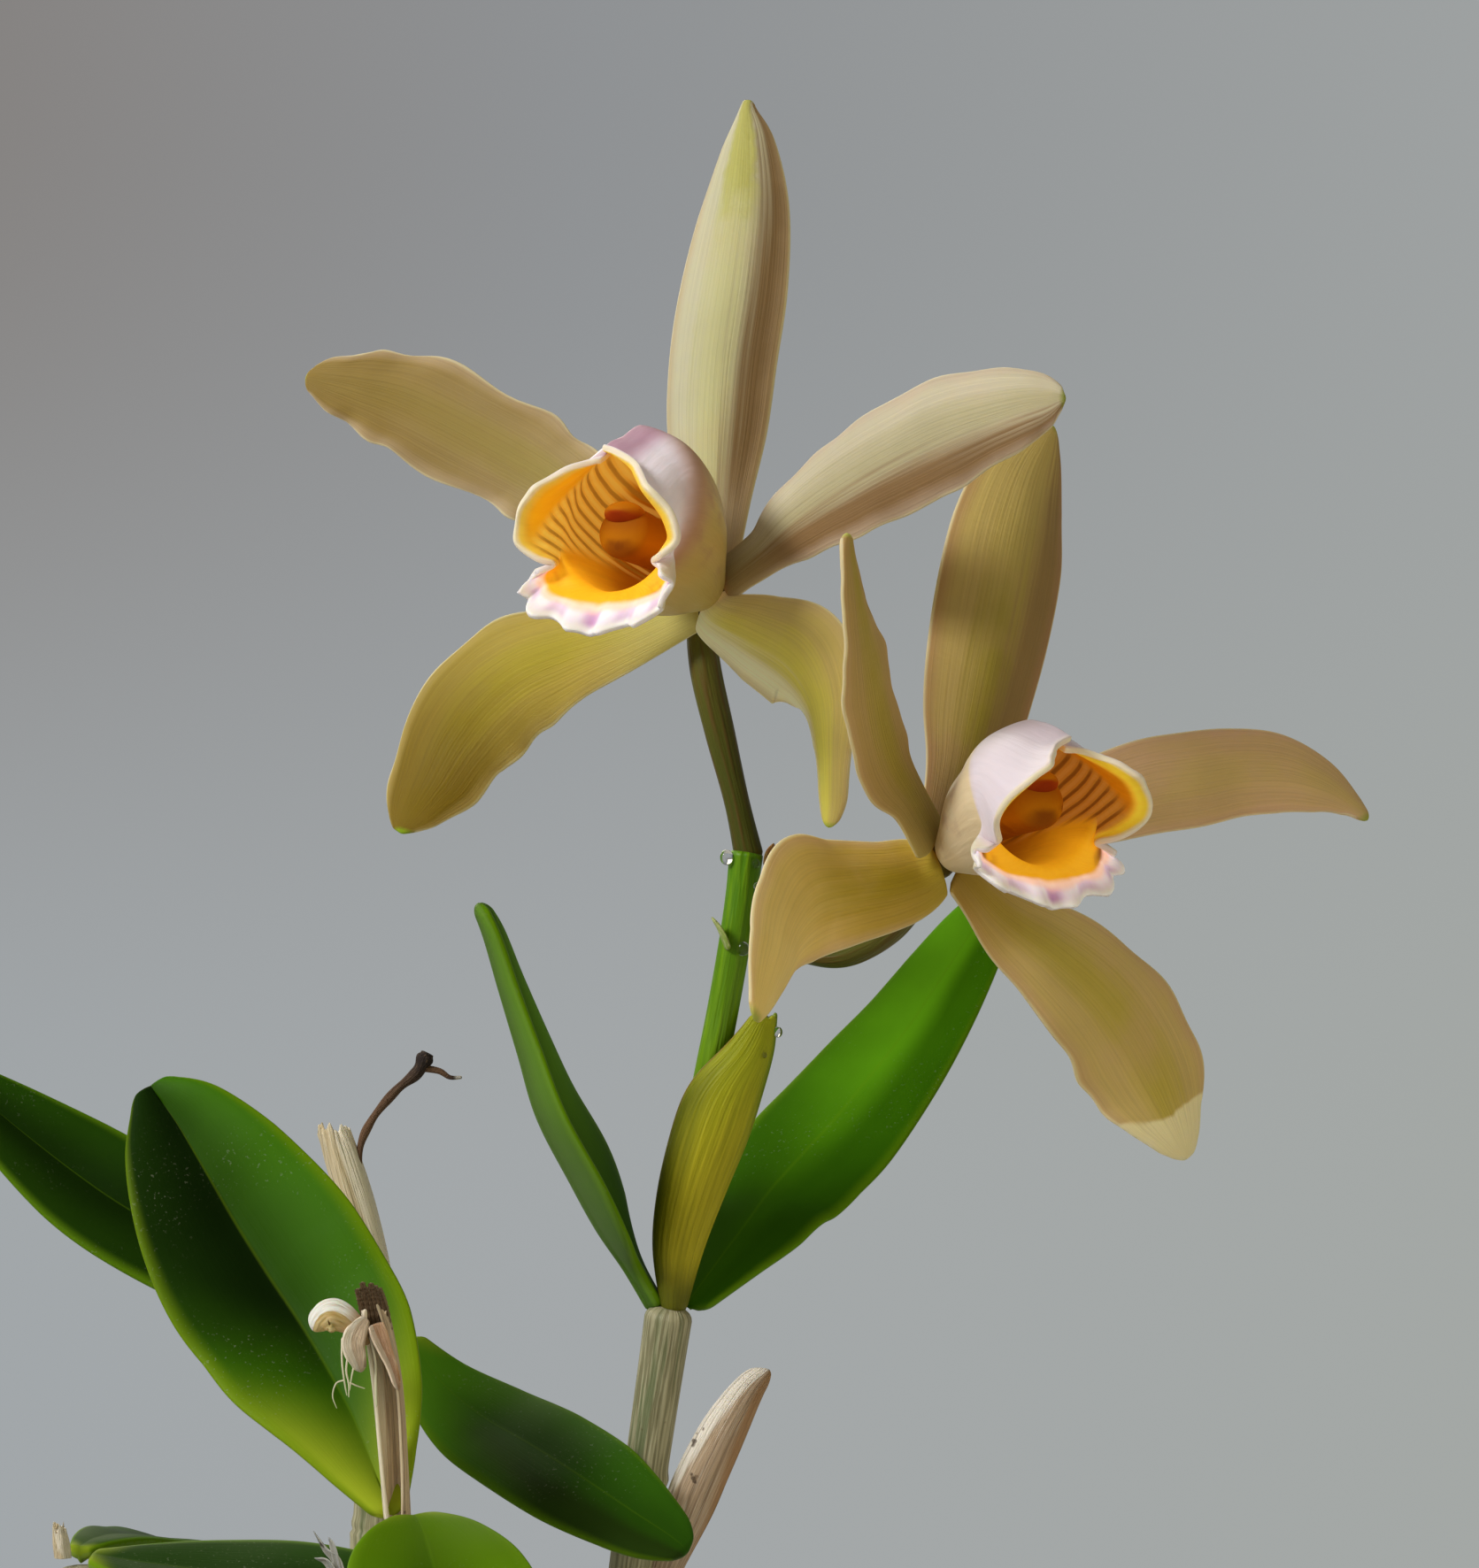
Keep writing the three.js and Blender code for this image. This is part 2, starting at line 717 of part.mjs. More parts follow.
function flower(number, shape) {
  const { middle, up, right } = compass(shape);
  const mouth = compass({ centre: shape.centre, looks: shape.lip.looks });
  const group = new THREE.Group();
  group.setRotationFromMatrix(new THREE.Matrix4().makeBasis(mouth.right, mouth.ahead.negate(), mouth.up));
  group.position.copy(middle);
  plant.add(group);

  piece(`lip_${number}`, lip(lipSections(shape.lip)), COLOURS.lip, group);
  const column = [
    [0, 0.6, 0, 1.5],
    [0, -5, 0.8, 1.9],
    [0, -11, 2, 2.6],
    [0, -16.4, 2.9, 3],
    [0, -19.4, 3.2, 2.7],
  ];
  const cap = [
    [0, -20.5, 3.4, 1.7],
    [0, -21.2, 3.4, 2],
    [0, -22, 3.3, 1.2],
  ];
  piece(`column_${number}`, stalk(column, 9, 10), COLOURS.column, group);
  piece(`anther_cap_${number}`, stalk(cap, 4, 8), COLOURS.column, group);

  for (const [name, { clock, stations, ...rest }] of Object.entries(shape.tepals)) {
    const angle = THREE.MathUtils.degToRad(clock);
    const foot = middle
      .clone()
      .addScaledVector(right, TEPAL_FOOT.circle * Math.cos(angle))
      .addScaledVector(up, TEPAL_FOOT.circle * Math.sin(angle));
    const whole = [[...foot.toArray(), TEPAL_FOOT.half, stations[0][4] / 2], ...stations];
    const tepal = blade({ face: shape.looks, stations: whole, ...rest }, SHEET.tepal);
    piece(`${name}_${number}`, tepal, COLOURS.tepal);
  }
}

const FLOWER_1 = {
  centre: [35.5, -3, 317.8],
  looks: [-0.53, -0.82, 0.2],
  lip: { looks: [-0.53, -0.82, 0.2], reach: 0, crown: 1, size: 1 },
  tepals: {
    sepal_top: {
      clock: 90,
      cup: -0.16,
      stations: [
        [35.8, -1.6, 328, 4.6, -8],
        [35.8, 0, 337.5, 6.6, -12],
        [36.4, 2, 347.2, 7.3, -12],
        [37.8, 4, 357, 7.3, -12],
        [39.2, 7, 367, 6.2, -10],
        [40, 10, 375.4, 3.8, -5],
        [40.6, 12, 380.4, 0.7, 0],
      ],
    },
    petal_left: {
      clock: 152,
      cup: -0.1,
      ruffle: 0.8,
      stations: [
        [26.2, 1, 325.4, 4.2, 0],
        [17.6, 6, 330.8, 6, 0],
        [10.8, 9, 335, 6.9, 0],
        [-1.8, 13, 341.7, 6.9, 0],
        [-9.3, 15, 344.2, 5, 0],
        [-14.6, 17, 345.5, 2.7, 0],
        [-16.5, 18, 345.9, 0.7, 0],
      ],
    },
    petal_right: {
      clock: 28,
      cup: -0.12,
      ruffle: 0.7,
      stations: [
        [41.7, -9.4, 322, 3.2, 0],
        [45.5, -13, 325.6, 5.2, 0],
        [51.1, -17, 329.5, 6.7, 0],
        [57.6, -21, 333.2, 7.3, 0],
        [64.3, -25, 336.3, 7.4, 0],
        [71.9, -30, 338.4, 5.3, 0],
        [76.1, -32, 339.1, 3.2, 0],
        [78.3, -33, 339.3, 0.7, 0],
      ],
    },
    sepal_left: {
      clock: 232,
      cup: -0.12,
      ruffle: 0.3,
      waves: 2,
      stations: [
        [25.4, 1.6, 312.6, 4.6, 0],
        [17.6, 5, 310.3, 6.8, 0],
        [11.4, 7, 307.9, 8, 4],
        [6.3, 9, 304, 8.6, 8],
        [2.6, 10, 299.2, 8.1, 10],
        [-0.1, 9, 293.7, 6.4, 8],
        [-2.3, 7, 289.4, 3.8, 4],
        [-3.4, 6, 287.1, 0.8, 0],
      ],
    },
    sepal_right: {
      clock: 308,
      cup: -0.14,
      ruffle: 0.3,
      waves: 2,
      stations: [
        [37.4, -6.4, 312.9, 4.3, 0],
        [42, -12, 311.2, 6, 0],
        [46.5, -16, 307.9, 7.5, -8],
        [49.2, -17, 303.2, 6.4, -14],
        [50.2, -15, 297.3, 4.5, -18],
        [50.4, -13, 291.9, 3.2, -20],
        [50.5, -12, 288, 1, -20],
      ],
    },
  },
};

const FLOWER_2 = {
  centre: [64.8, -20, 285],
  looks: [0.62, -0.75, 0.2],
  lip: { looks: [0.53, -0.82, 0.2], reach: -4.4, crown: 0.86, size: 0.98 },
  tepals: {
    sepal_top: {
      clock: 90,
      cup: -0.16,
      stations: [
        [67, -17, 294.5, 4.8, 8],
        [68.9, -14, 301.3, 6.8, 12],
        [70.7, -10, 308.7, 7.9, 12],
        [72.7, -5, 317, 8.4, 12],
        [74.6, 0, 325.3, 8.1, 12],
        [76.4, 5, 331.8, 6.6, 8],
        [78.2, 8, 336.2, 4, 4],
        [79.5, 10, 339.1, 0.7, 0],
      ],
    },
    petal_left: {
      clock: 152,
      cup: -0.1,
      ruffle: 0.5,
      stations: [
        [60.2, -26, 291.4, 3.6, 0],
        [57.7, -30, 295.6, 5.4, -4],
        [56, -34, 300.9, 6.3, -9],
        [54.9, -38, 306.5, 6.1, -13],
        [53.8, -41, 311.7, 4.7, -19],
        [52.9, -43, 316.3, 3.1, -26],
        [52.2, -44, 320.3, 1.8, -24],
        [52, -44, 322.7, 0.7, -20],
      ],
    },
    petal_right: {
      clock: 28,
      cup: -0.1,
      ruffle: 0.5,
      stations: [
        [75.9, -12, 289.2, 4.1, 0],
        [83.9, -7, 291.3, 5.4, 0],
        [90.9, -3, 293.2, 6, 0],
        [96.7, 0, 294.1, 6.1, 0],
        [102.5, 3, 295, 5.7, 0],
        [108.3, 5, 294.9, 5.2, 0],
        [113.5, 6, 293.2, 3.8, 0],
        [116.9, 6, 290.9, 2.1, 0],
        [119, 5, 288.8, 0.7, 0],
      ],
    },
    sepal_left: {
      clock: 232,
      cup: -0.12,
      ruffle: 0.4,
      waves: 2,
      stations: [
        [58.1, -24, 282.3, 4.6, 0],
        [52.7, -29, 281.6, 5.8, 0],
        [48.1, -35, 279.9, 8, 10],
        [45, -40, 276.4, 7.6, 22],
        [43.3, -44, 272.3, 6.5, 30],
        [42, -47, 268.9, 3.8, 30],
        [41, -49, 266.2, 1.2, 30],
      ],
    },
    sepal_right: {
      clock: 308,
      cup: -0.1,
      ruffle: 0.3,
      waves: 2,
      stations: [
        [71.4, -16, 277.6, 4.6, 0],
        [78, -14, 272.9, 7.2, 0],
        [83.8, -12, 267.9, 8.7, -6],
        [88, -10, 262.4, 8.9, -12],
        [91, -9, 256.8, 8.2, -12],
        [92.9, -9, 252.2, 6.2, -8],
        [94.1, -9, 248.8, 3.4, -4],
        [94.5, -9, 246.8, 0.8, 0],
      ],
    },
  },
};

// Each flower's own stalk swells to a small flat seat behind its tepals.
function behind(shape, back, radius) {
  const { middle, ahead } = compass(shape);
  return [...middle.addScaledVector(ahead, -back).toArray(), radius];
}

piece(
  "flower_stalk_1",
  stalk(
    [
      [40.6, 0, 284.9, 1.7],
      [39.2, 0.4, 291, 1.6],
      [37, 1.2, 300, 1.9],
      [35.2, 2, 308, 2],
      [34.8, 2.4, 314, 1.8],
      behind(FLOWER_1, 3, 2.2),
      behind(FLOWER_1, SEAT, 3),
    ],
    14,
    10,
  ),
  COLOURS.pedicel,
);
piece(
  "flower_stalk_2",
  stalk(
    [
      [42.4, -1, 275.4, 1.3],
      [46.6, -3, 272.9, 1.5],
      [52.4, -6.6, 272.4, 1.8],
      [58, -11, 275.6, 1.9],
      [61.6, -15, 280.4, 1.8],
      behind(FLOWER_2, 3, 2.2),
      behind(FLOWER_2, SEAT, 3),
    ],
    14,
    10,
  ),
  COLOURS.pedicel,
);
flower(1, FLOWER_1);
flower(2, FLOWER_2);

export default plant;
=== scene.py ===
# %% [markdown]
# # A potted cattleya orchid in bloom
# This notebook finishes the looks of a slender-caned orchid: two flowers on one stem, leathery leaves, dry
# sheaths, canes and a clay pot of bark. The solid model holds the sizes and places, and each piece here is
# made again with more detail at the same spot, in the same frame: metres, +Z up, and the middle of the
# pot's underside as the origin.

# %% Load the frame
import math
import random

import bpy
import numpy as np
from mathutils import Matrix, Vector


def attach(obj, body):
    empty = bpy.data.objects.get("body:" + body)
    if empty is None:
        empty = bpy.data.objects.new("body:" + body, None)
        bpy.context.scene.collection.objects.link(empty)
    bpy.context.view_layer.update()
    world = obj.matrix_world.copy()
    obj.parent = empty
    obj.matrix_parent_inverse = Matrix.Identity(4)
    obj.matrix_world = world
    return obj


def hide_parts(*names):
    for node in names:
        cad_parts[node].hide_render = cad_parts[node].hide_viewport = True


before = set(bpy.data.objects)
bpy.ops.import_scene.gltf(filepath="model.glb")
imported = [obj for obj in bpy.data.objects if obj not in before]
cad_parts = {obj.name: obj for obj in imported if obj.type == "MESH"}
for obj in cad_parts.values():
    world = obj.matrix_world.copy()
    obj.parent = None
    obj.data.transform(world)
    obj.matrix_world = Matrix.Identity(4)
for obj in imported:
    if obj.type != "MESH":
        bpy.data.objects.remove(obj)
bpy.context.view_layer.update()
MM = 0.001
print("nodes in the frame:", len(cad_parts))

# %% [markdown]
# ## Camera
# A flower looks right only from about where a person stands, so the camera is placed first. It stands level
# with the flowers, a little over half a metre away, with a long lens, which keeps the petals from bulging.

# %% Camera
PICTURE = (1671, 1772)
LOOK_AT = Vector((39.5, 0, 293.4)) * MM
DISTANCE = 0.620
PIXELS_PER_METRE = 9000
SENSOR = 36

camera_data = bpy.data.cameras.new("camera")
camera_data.sensor_width = SENSOR
camera_data.lens = SENSOR * DISTANCE * PIXELS_PER_METRE / max(PICTURE)
camera = bpy.data.objects.new("camera", camera_data)
camera.location = LOOK_AT + Vector((0, -DISTANCE, 0))
camera.rotation_euler = (math.radians(90), 0, 0)
bpy.context.scene.collection.objects.link(camera)
bpy.context.scene.camera = camera
bpy.context.scene.view_settings.view_transform = "Standard"
print("lens in millimetres:", round(camera_data.lens, 1))

# %% [markdown]
# ## Light and background
# A flower on a window sill has one big soft light from the left, and the room gives the rest. A large area
# light does the window's work, a weak one on the right fills the shadows, and a third behind the plant
# shines through the thin tissue. The background is a plain grey wash, painted on the world.


# %% Lamps
def lamp(name, place, aim, size, watts, colour):
    data = bpy.data.lights.new(name, "AREA")
    data.size = size
    data.energy = watts
    data.color = colour
    made = bpy.data.objects.new(name, data)
    made.location = place
    made.rotation_euler = (Vector(aim) - Vector(place)).to_track_quat("-Z", "Y").to_euler()
    bpy.context.scene.collection.objects.link(made)


FLOWERS = (0.045, 0, 0.30)
lamp("window", (-0.82, -0.46, 0.95), FLOWERS, 0.34, 12, (1.0, 0.98, 0.93))
lamp("room", (0.80, -0.90, 0.45), FLOWERS, 1.2, 3.8, (1.0, 0.86, 0.52))
lamp("behind", (-0.35, 0.80, 0.75), FLOWERS, 0.7, 3.5, (1.0, 0.92, 0.7))

# %% [markdown]
# The wall of the room is a soft wash of greys, cool on the right and darker at the upper left. It belongs to
# the world and not to the plant, so it is mixed there from the direction in which a point lies.

# %% World
UPPER_GREYS = [(0, (0.235, 0.222, 0.214)), (0.4, (0.275, 0.285, 0.295)), (1, (0.345, 0.362, 0.362))]
LOWER_GREYS = [(0, (0.36, 0.385, 0.40)), (0.4, (0.37, 0.39, 0.40)), (1, (0.37, 0.39, 0.375))]
SIDEWAYS = (-0.16, 0.16)
UPWARDS = (-0.09, 0.14)
AHEAD = (0.7, 0.975)
ROOM_STRENGTH = 0.5

world = bpy.data.worlds.new("wash")
bpy.context.scene.world = world
world.use_nodes = True
wash = world.node_tree
background = wash.nodes["Background"]
towards = wash.nodes.new("ShaderNodeTexCoord")
direction = wash.nodes.new("ShaderNodeSeparateXYZ")
wash.links.new(towards.outputs["Generated"], direction.inputs[0])


def reach(axis, ends, kind="LINEAR", least=0.0):
    """One direction of the world, brought from its own two ends to a number from least to 1."""
    made = wash.nodes.new("ShaderNodeMapRange")
    made.interpolation_type = kind
    for name, value in (("From Min", ends[0]), ("From Max", ends[1]), ("To Min", least)):
        made.inputs[name].default_value = value
    wash.links.new(direction.outputs[axis], made.inputs["Value"])
    return made.outputs[0]


def greys(stops):
    """A ramp of greys from left to right."""
    ramp = wash.nodes.new("ShaderNodeValToRGB")
    elements = ramp.color_ramp.elements
    elements.remove(elements[1])
    for i, (place, colour) in enumerate(stops):
        element = elements[0] if i == 0 else elements.new(place)
        element.position = place
        element.color = (*colour, 1)
    wash.links.new(reach("X", SIDEWAYS), ramp.inputs[0])
    return ramp.outputs[0]


blend = wash.nodes.new("ShaderNodeMix")
blend.data_type = "RGBA"
wash.links.new(reach("Z", UPWARDS, "SMOOTHSTEP"), blend.inputs[0])
wash.links.new(greys(LOWER_GREYS), blend.inputs[6])
wash.links.new(greys(UPPER_GREYS), blend.inputs[7])
wash.links.new(blend.outputs[2], background.inputs["Color"])
wash.links.new(reach("Y", AHEAD, "SMOOTHSTEP", ROOM_STRENGTH), background.inputs["Strength"])
print("nodes in the world:", len(wash.nodes))

# %% [markdown]
# ## Shader maths
# Most of what makes tissue look alive is colour that follows the way it grew: veins run along a petal, its
# edge is pinker than its heart, and its foot is darker. Such rules are short sums. One small class wraps a
# socket, so that a sum of wrapped sockets adds the Math nodes for it, and a Finish holds one material.


# %% Paint
class Paint:
    """A number or colour that varies over a surface. Sums and products of it add Math nodes."""

    def __init__(self, finish, socket):
        self.finish = finish
        self.socket = socket

    def maths(self, operation, *values):
        return self.finish.node("ShaderNodeMath", {"operation": operation}, values)

    def __add__(self, other):
        return self.maths("ADD", self, other)

    def __sub__(self, other):
        return self.maths("SUBTRACT", self, other)

    def __rsub__(self, other):
        return self.maths("SUBTRACT", other, self)

    def __mul__(self, other):
        return self.maths("MULTIPLY", self, other)

    def __truediv__(self, other):
        return self.maths("DIVIDE", self, other)

    __radd__ = __add__
    __rmul__ = __mul__

    def size(self):
        return self.maths("ABSOLUTE", self)

    def wave(self):
        return self.maths("SINE", self)

    def rise(self, low, high):
        """0 below low, 1 above high and smooth between. It falls instead where low is above high."""
        ends = {"Value": self, "From Min": low, "From Max": high}
        return self.finish.node("ShaderNodeMapRange", {"interpolation_type": "SMOOTHSTEP"}, ends)


# %% Finish
class Finish:
    """One material. Its constants are set on the shader's own sockets."""

    def __init__(self, name, soft=None, **constants):
        """soft is how light spreads inside: its weight, its depth in mm, and the share of that depth which
        each of red, green and blue reaches."""
        if soft:
            weight, depth, colours = soft
            constants["Subsurface_Weight"] = weight
            constants["Subsurface_Scale"] = depth * MM
            constants["Subsurface_Radius"] = colours
        self.material = bpy.data.materials.new(name)
        self.material.use_nodes = True
        self.tree = self.material.node_tree
        self.shader = self.tree.nodes["Principled BSDF"]
        for socket, value in constants.items():
            self.shader.inputs[socket.replace("_", " ")].default_value = value
        self.place = self.node("ShaderNodeTexCoord", output="Object")
        grain = self.node("ShaderNodeAttribute", {"attribute_name": "grain"}, output="Vector")
        parts = self.node("ShaderNodeSeparateXYZ", inputs={0: grain})
        self.across = parts
        self.along = Paint(self, parts.socket.node.outputs[1])
        self.third = Paint(self, parts.socket.node.outputs[2])

    def node(self, kind, settings=None, inputs=(), output=0):
        made = self.tree.nodes.new(kind)
        for key, value in (settings or {}).items():
            setattr(made, key, value)
        for key, value in inputs.items() if isinstance(inputs, dict) else enumerate(inputs):
            if isinstance(value, Paint):
                self.tree.links.new(value.socket, made.inputs[key])
            else:
                made.inputs[key].default_value = value
        return Paint(self, made.outputs[output])

    def noise(self, scale, detail=2.0, vector=None):
        values = {"Vector": vector or self.place, "Scale": scale, "Detail": detail}
        return self.node("ShaderNodeTexNoise", inputs=values)

    def streaks(self, across, along, detail=2.0, third=0.0):
        """Noise that is drawn out lengthwise: it changes often across the grain and seldom along it."""
        stretched = [self.across * across, self.along * along, self.third * third]
        return self.noise(1.0, detail, self.node("ShaderNodeCombineXYZ", inputs=stretched))

    def measure(self, direction):
        """How far a point lies along a direction, in mm."""
        metres = self.node("ShaderNodeVectorMath", {"operation": "DOT_PRODUCT"}, [self.place, direction],
                           output="Value")
        return metres / MM

    def mix(self, factor, first, second):
        """A colour between two colours, at a factor from 0 to 1."""
        colours = {0: factor}
        for key, colour in ((6, first), (7, second)):
            colours[key] = colour if isinstance(colour, Paint) else (*colour, 1)
        return self.node("ShaderNodeMix", {"data_type": "RGBA"}, colours, output=2)

    def shade(self, colour, amount):
        """A colour made darker or lighter by a number round 1."""
        grey = self.node("ShaderNodeCombineXYZ", inputs=[amount, amount, amount])
        return self.node("ShaderNodeVectorMath", {"operation": "MULTIPLY"}, [colour, grey])

    def layers(self, colour, *coats):
        """A colour under several coats. Each coat is its mask and its own colour."""
        for mask, tint in coats:
            colour = self.mix(mask, colour, tint)
        return colour

    def wear(self, socket, paint):
        self.tree.links.new(paint.socket, self.shader.inputs[socket])

    def wear_with_glow(self, colour, lit=None):
        """A base colour, and the same colour again as emission: a painted glow that stands in for the light
        the tissue lets through.
        """
        self.wear("Base Color", colour)
        self.wear("Emission Color", self.shade(colour, lit) if lit else colour)

    def bump(self, height, depth):
        """Relief of the surface, with its full depth in mm."""
        values = {"Height": height, "Distance": depth * MM, "Strength": 1.0}
        self.wear("Normal", self.node("ShaderNodeBump", inputs=values))


# %% [markdown]
# ## Shapes that follow a line
# Leaves, petals, stems and sheaths all grow along a line. A few stations hold where that line runs and how
# wide the piece is there, and a smooth curve joins them. A blade or a stalk starts as a ball: its two poles
# become the foot and the tip, and its rings slide along the line, so the piece is closed and has a round
# edge all over. A wrapped sheet starts as a flat grid, and gets its thickness afterwards.


# %% Curves
STEP = 1e-3


def curve(rows, t):
    """Points on the smooth curve through rows, for an array t from 0 to 1. rows may differ for each point."""
    rows = np.asarray(rows, float)
    last = len(rows) - 1
    padded = np.concatenate([[2 * rows[0] - rows[1]], rows, [2 * rows[-1] - rows[-2]]])
    place = np.clip(t, 0, 1) * last
    i = np.minimum(place.astype(int), last - 1)
    u = (place - i)[:, None]
    each = np.arange(len(t)) if rows.ndim == 3 else None
    a, b, c, d = (padded[i + k] if each is None else padded[i + k, each] for k in range(4))
    square = 2 * a - 5 * b + 4 * c - d
    cube = 3 * b - a - 3 * c + d
    return 0.5 * (2 * b + (c - a) * u + square * u**2 + cube * u**3)


def unit(vectors):
    """The same directions, each one long."""
    return vectors / np.linalg.norm(vectors, axis=-1, keepdims=True)


def tangents(rows, t):
    """Where the curve through rows heads at each t."""
    rows = np.asarray(rows, float)[:, :3]
    return unit(curve(rows, np.minimum(1, t + STEP)) - curve(rows, np.maximum(0, t - STEP)))


def normals(surface, t, s):
    """Where a surface faces at each t, which runs along it, and s, which runs across it from -1 to 1."""
    lengthways = surface(np.minimum(1, t + STEP), s) - surface(np.maximum(0, t - STEP), s)
    crossways = surface(t, np.minimum(1, s + STEP)) - surface(t, np.maximum(-1, s - STEP))
    return unit(np.cross(lengthways, crossways))


def round_ends(t, foot, tip):
    """A share of the full width, 1 in the middle, that closes roundly over the first and last stretch."""
    start = np.clip((foot - t) / foot, 0, 1) if foot else 0 * t
    end = np.clip((t - 1 + tip) / tip, 0, 1) if tip else 0 * t
    return np.sqrt(np.maximum(0, 1 - start**2)) * np.sqrt(np.maximum(0, 1 - end**2))


# %% Selecting and moving points
def clear_selection():
    if bpy.context.object and bpy.context.object.mode != "OBJECT":
        bpy.ops.object.mode_set(mode="OBJECT")
    bpy.ops.object.select_all(action="DESELECT")


def select_only(*pieces):
    clear_selection()
    for piece in pieces:
        piece.select_set(True)
    bpy.context.view_layer.objects.active = pieces[0]


def points_of(piece):
    """The places of a piece's points, one row each."""
    points = np.zeros(len(piece.data.vertices) * 3)
    piece.data.vertices.foreach_get("co", points)
    return points.reshape(-1, 3)


def move_points(piece, millimetres):
    piece.data.vertices.foreach_set("co", (millimetres * MM).ravel())
    piece.data.update()


# %% Making and finishing a piece
def set_grain(piece, across, along, third):
    """Keeps where each point is across and along the piece, for the finishes to follow."""
    attribute = piece.data.attributes.new("grain", "FLOAT_VECTOR", "POINT")
    attribute.data.foreach_set("vector", np.stack([across, along, third + 0 * along], axis=-1).ravel())


def ball(name, around, lengthwise):
    """A new ball, with the angle round its axis and the share of the way from pole to pole of each point."""
    clear_selection()
    bpy.ops.mesh.primitive_uv_sphere_add(segments=around, ring_count=lengthwise, radius=1)
    piece = bpy.context.object
    piece.name = piece.data.name = name
    x, y, z = points_of(piece).T
    share = 1 - np.arccos(np.clip(z, -1, 1)) / math.pi
    return piece, np.arctan2(y, x), share


def apply_all(piece):
    """Applies every modifier of a piece, in their order."""
    select_only(piece)
    for modifier in list(piece.modifiers):
        bpy.ops.object.modifier_apply(modifier=modifier.name)


def joined(name, pieces):
    select_only(*pieces)
    bpy.ops.object.join()
    pieces[0].name = pieces[0].data.name = name
    return pieces[0]


def finished(piece, slot, *finishes, node=None):
    """Gives a piece its finishes, smooth shading and its body, and hides the node it stands for. slot is not
    used.
    """
    while len(piece.data.materials) < len(finishes):
        piece.data.materials.append(None)
    for i, finish in enumerate(finishes):
        piece.data.materials[i] = finish.material
    piece.data.polygons.foreach_set("use_smooth", [True] * len(piece.data.polygons))
    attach(piece, "root")
    if node:
        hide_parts(node)
    piece.data.calc_loop_triangles()
    print(piece.name, len(piece.data.loop_triangles), "triangles")
    return piece


# %% Blades
RIB_WIDTH = 0.09
THIN_END = 0.3
EDGE_ROUNDNESS = 0.6


def blade_surface(stations, face, cup=0.0, fold=0.0, ruffle=0.0, waves=4, frill=0.0, frills=11):
    """The middle surface of a leaf or petal, from stations of x, y, z, half width and roll in degrees."""
    stations = np.asarray(stations, float)
    face = np.asarray(face, float)

    def surface(t, s):
        x_y_z, half, roll = np.split(curve(stations, t), [3, 4], axis=1)
        tangent = tangents(stations, t)
        facing = unit(face - tangent * np.sum(tangent * face, axis=1, keepdims=True))
        level = np.cross(tangent, facing)
        angle = np.radians(roll)
        side = level * np.cos(angle) + facing * np.sin(angle)
        normal = facing * np.cos(angle) - level * np.sin(angle)
        t, s = t[:, None], s[:, None]
        crease = np.sqrt(s**2 + 0.003) - 0.055
        edge = np.abs(s) ** 3
        wave = ruffle * edge * np.sin(2 * math.pi * waves * t + 1.5 * s)
        fine = frill * edge * np.sin(2 * math.pi * frills * t + 4 * s) * np.sin(math.pi * t)
        lift = half * (cup * s**2 + fold * crease) + (wave + fine) * np.minimum(1, half / 4)
        wander = 1 + 0.25 * frill * edge * np.sin(2 * math.pi * 0.7 * frills * t + 2.5 * s)
        return x_y_z + side * half * s * wander + normal * lift

    return surface


def blade(name, surface, thickness, foot=0.03, tip=0.06, keel=0.0, around=72, lengthwise=100):
    """A closed blade on a surface. keel thickens its back along the middle, as a midrib does."""
    piece, angle, share = ball(name, around, lengthwise)
    t = 0.6 * share + 0.4 * (0.5 - 0.5 * np.cos(math.pi * share))
    s = np.cos(angle)
    width = round_ends(t, foot, tip)
    pole = (share < 1e-6) | (share > 1 - 1e-6)
    width[pole] = 0
    out = np.sign(np.sin(angle)) * np.abs(np.sin(angle)) ** EDGE_ROUNDNESS
    rib = keel * np.exp(-((s / RIB_WIDTH) ** 2)) * (out > 0) * (1 - t)
    half = thickness / 2 * np.maximum(THIN_END, width) * out + rib * width
    half[pole] = 0
    s = s * width
    move_points(piece, surface(t, s) + normals(surface, t, s) * half[:, None])
    set_grain(piece, s, t, np.where(out > 0, -1.0, 1.0))
    return piece


# %% Stalks
def stalk(name, stations, around=28, lengthwise=90, caps=(0.02, 0.02), swelling=None, level=(1, 0.3, 0.1),
          wide=1.0):
    """A stalk along stations of x, y, z and radius. It is wide times as broad as tall, along level."""
    piece, angle, share = ball(name, around, lengthwise)
    steps = np.linspace(0, 1, lengthwise + 1)
    line = curve(stations, steps)
    directions = tangents(stations, steps)
    across = np.zeros_like(directions)
    reference = np.array(level, float)
    for i, direction in enumerate(directions):
        reference = reference - direction * np.dot(reference, direction)
        reference /= np.linalg.norm(reference)
        across[i] = reference
    other = np.cross(directions, across)
    ring = np.rint(share * lengthwise).astype(int)
    radius = line[:, 3] + (swelling(steps) if swelling else 0)
    radius = radius * round_ends(steps, *caps)
    radius[[0, -1]] = 0
    turn = wide * across[ring] * np.cos(angle)[:, None] + other[ring] * np.sin(angle)[:, None]
    move_points(piece, line[ring, :3] + turn * radius[ring][:, None])
    set_grain(piece, np.cos(angle), steps[ring], np.sin(angle))
    return piece


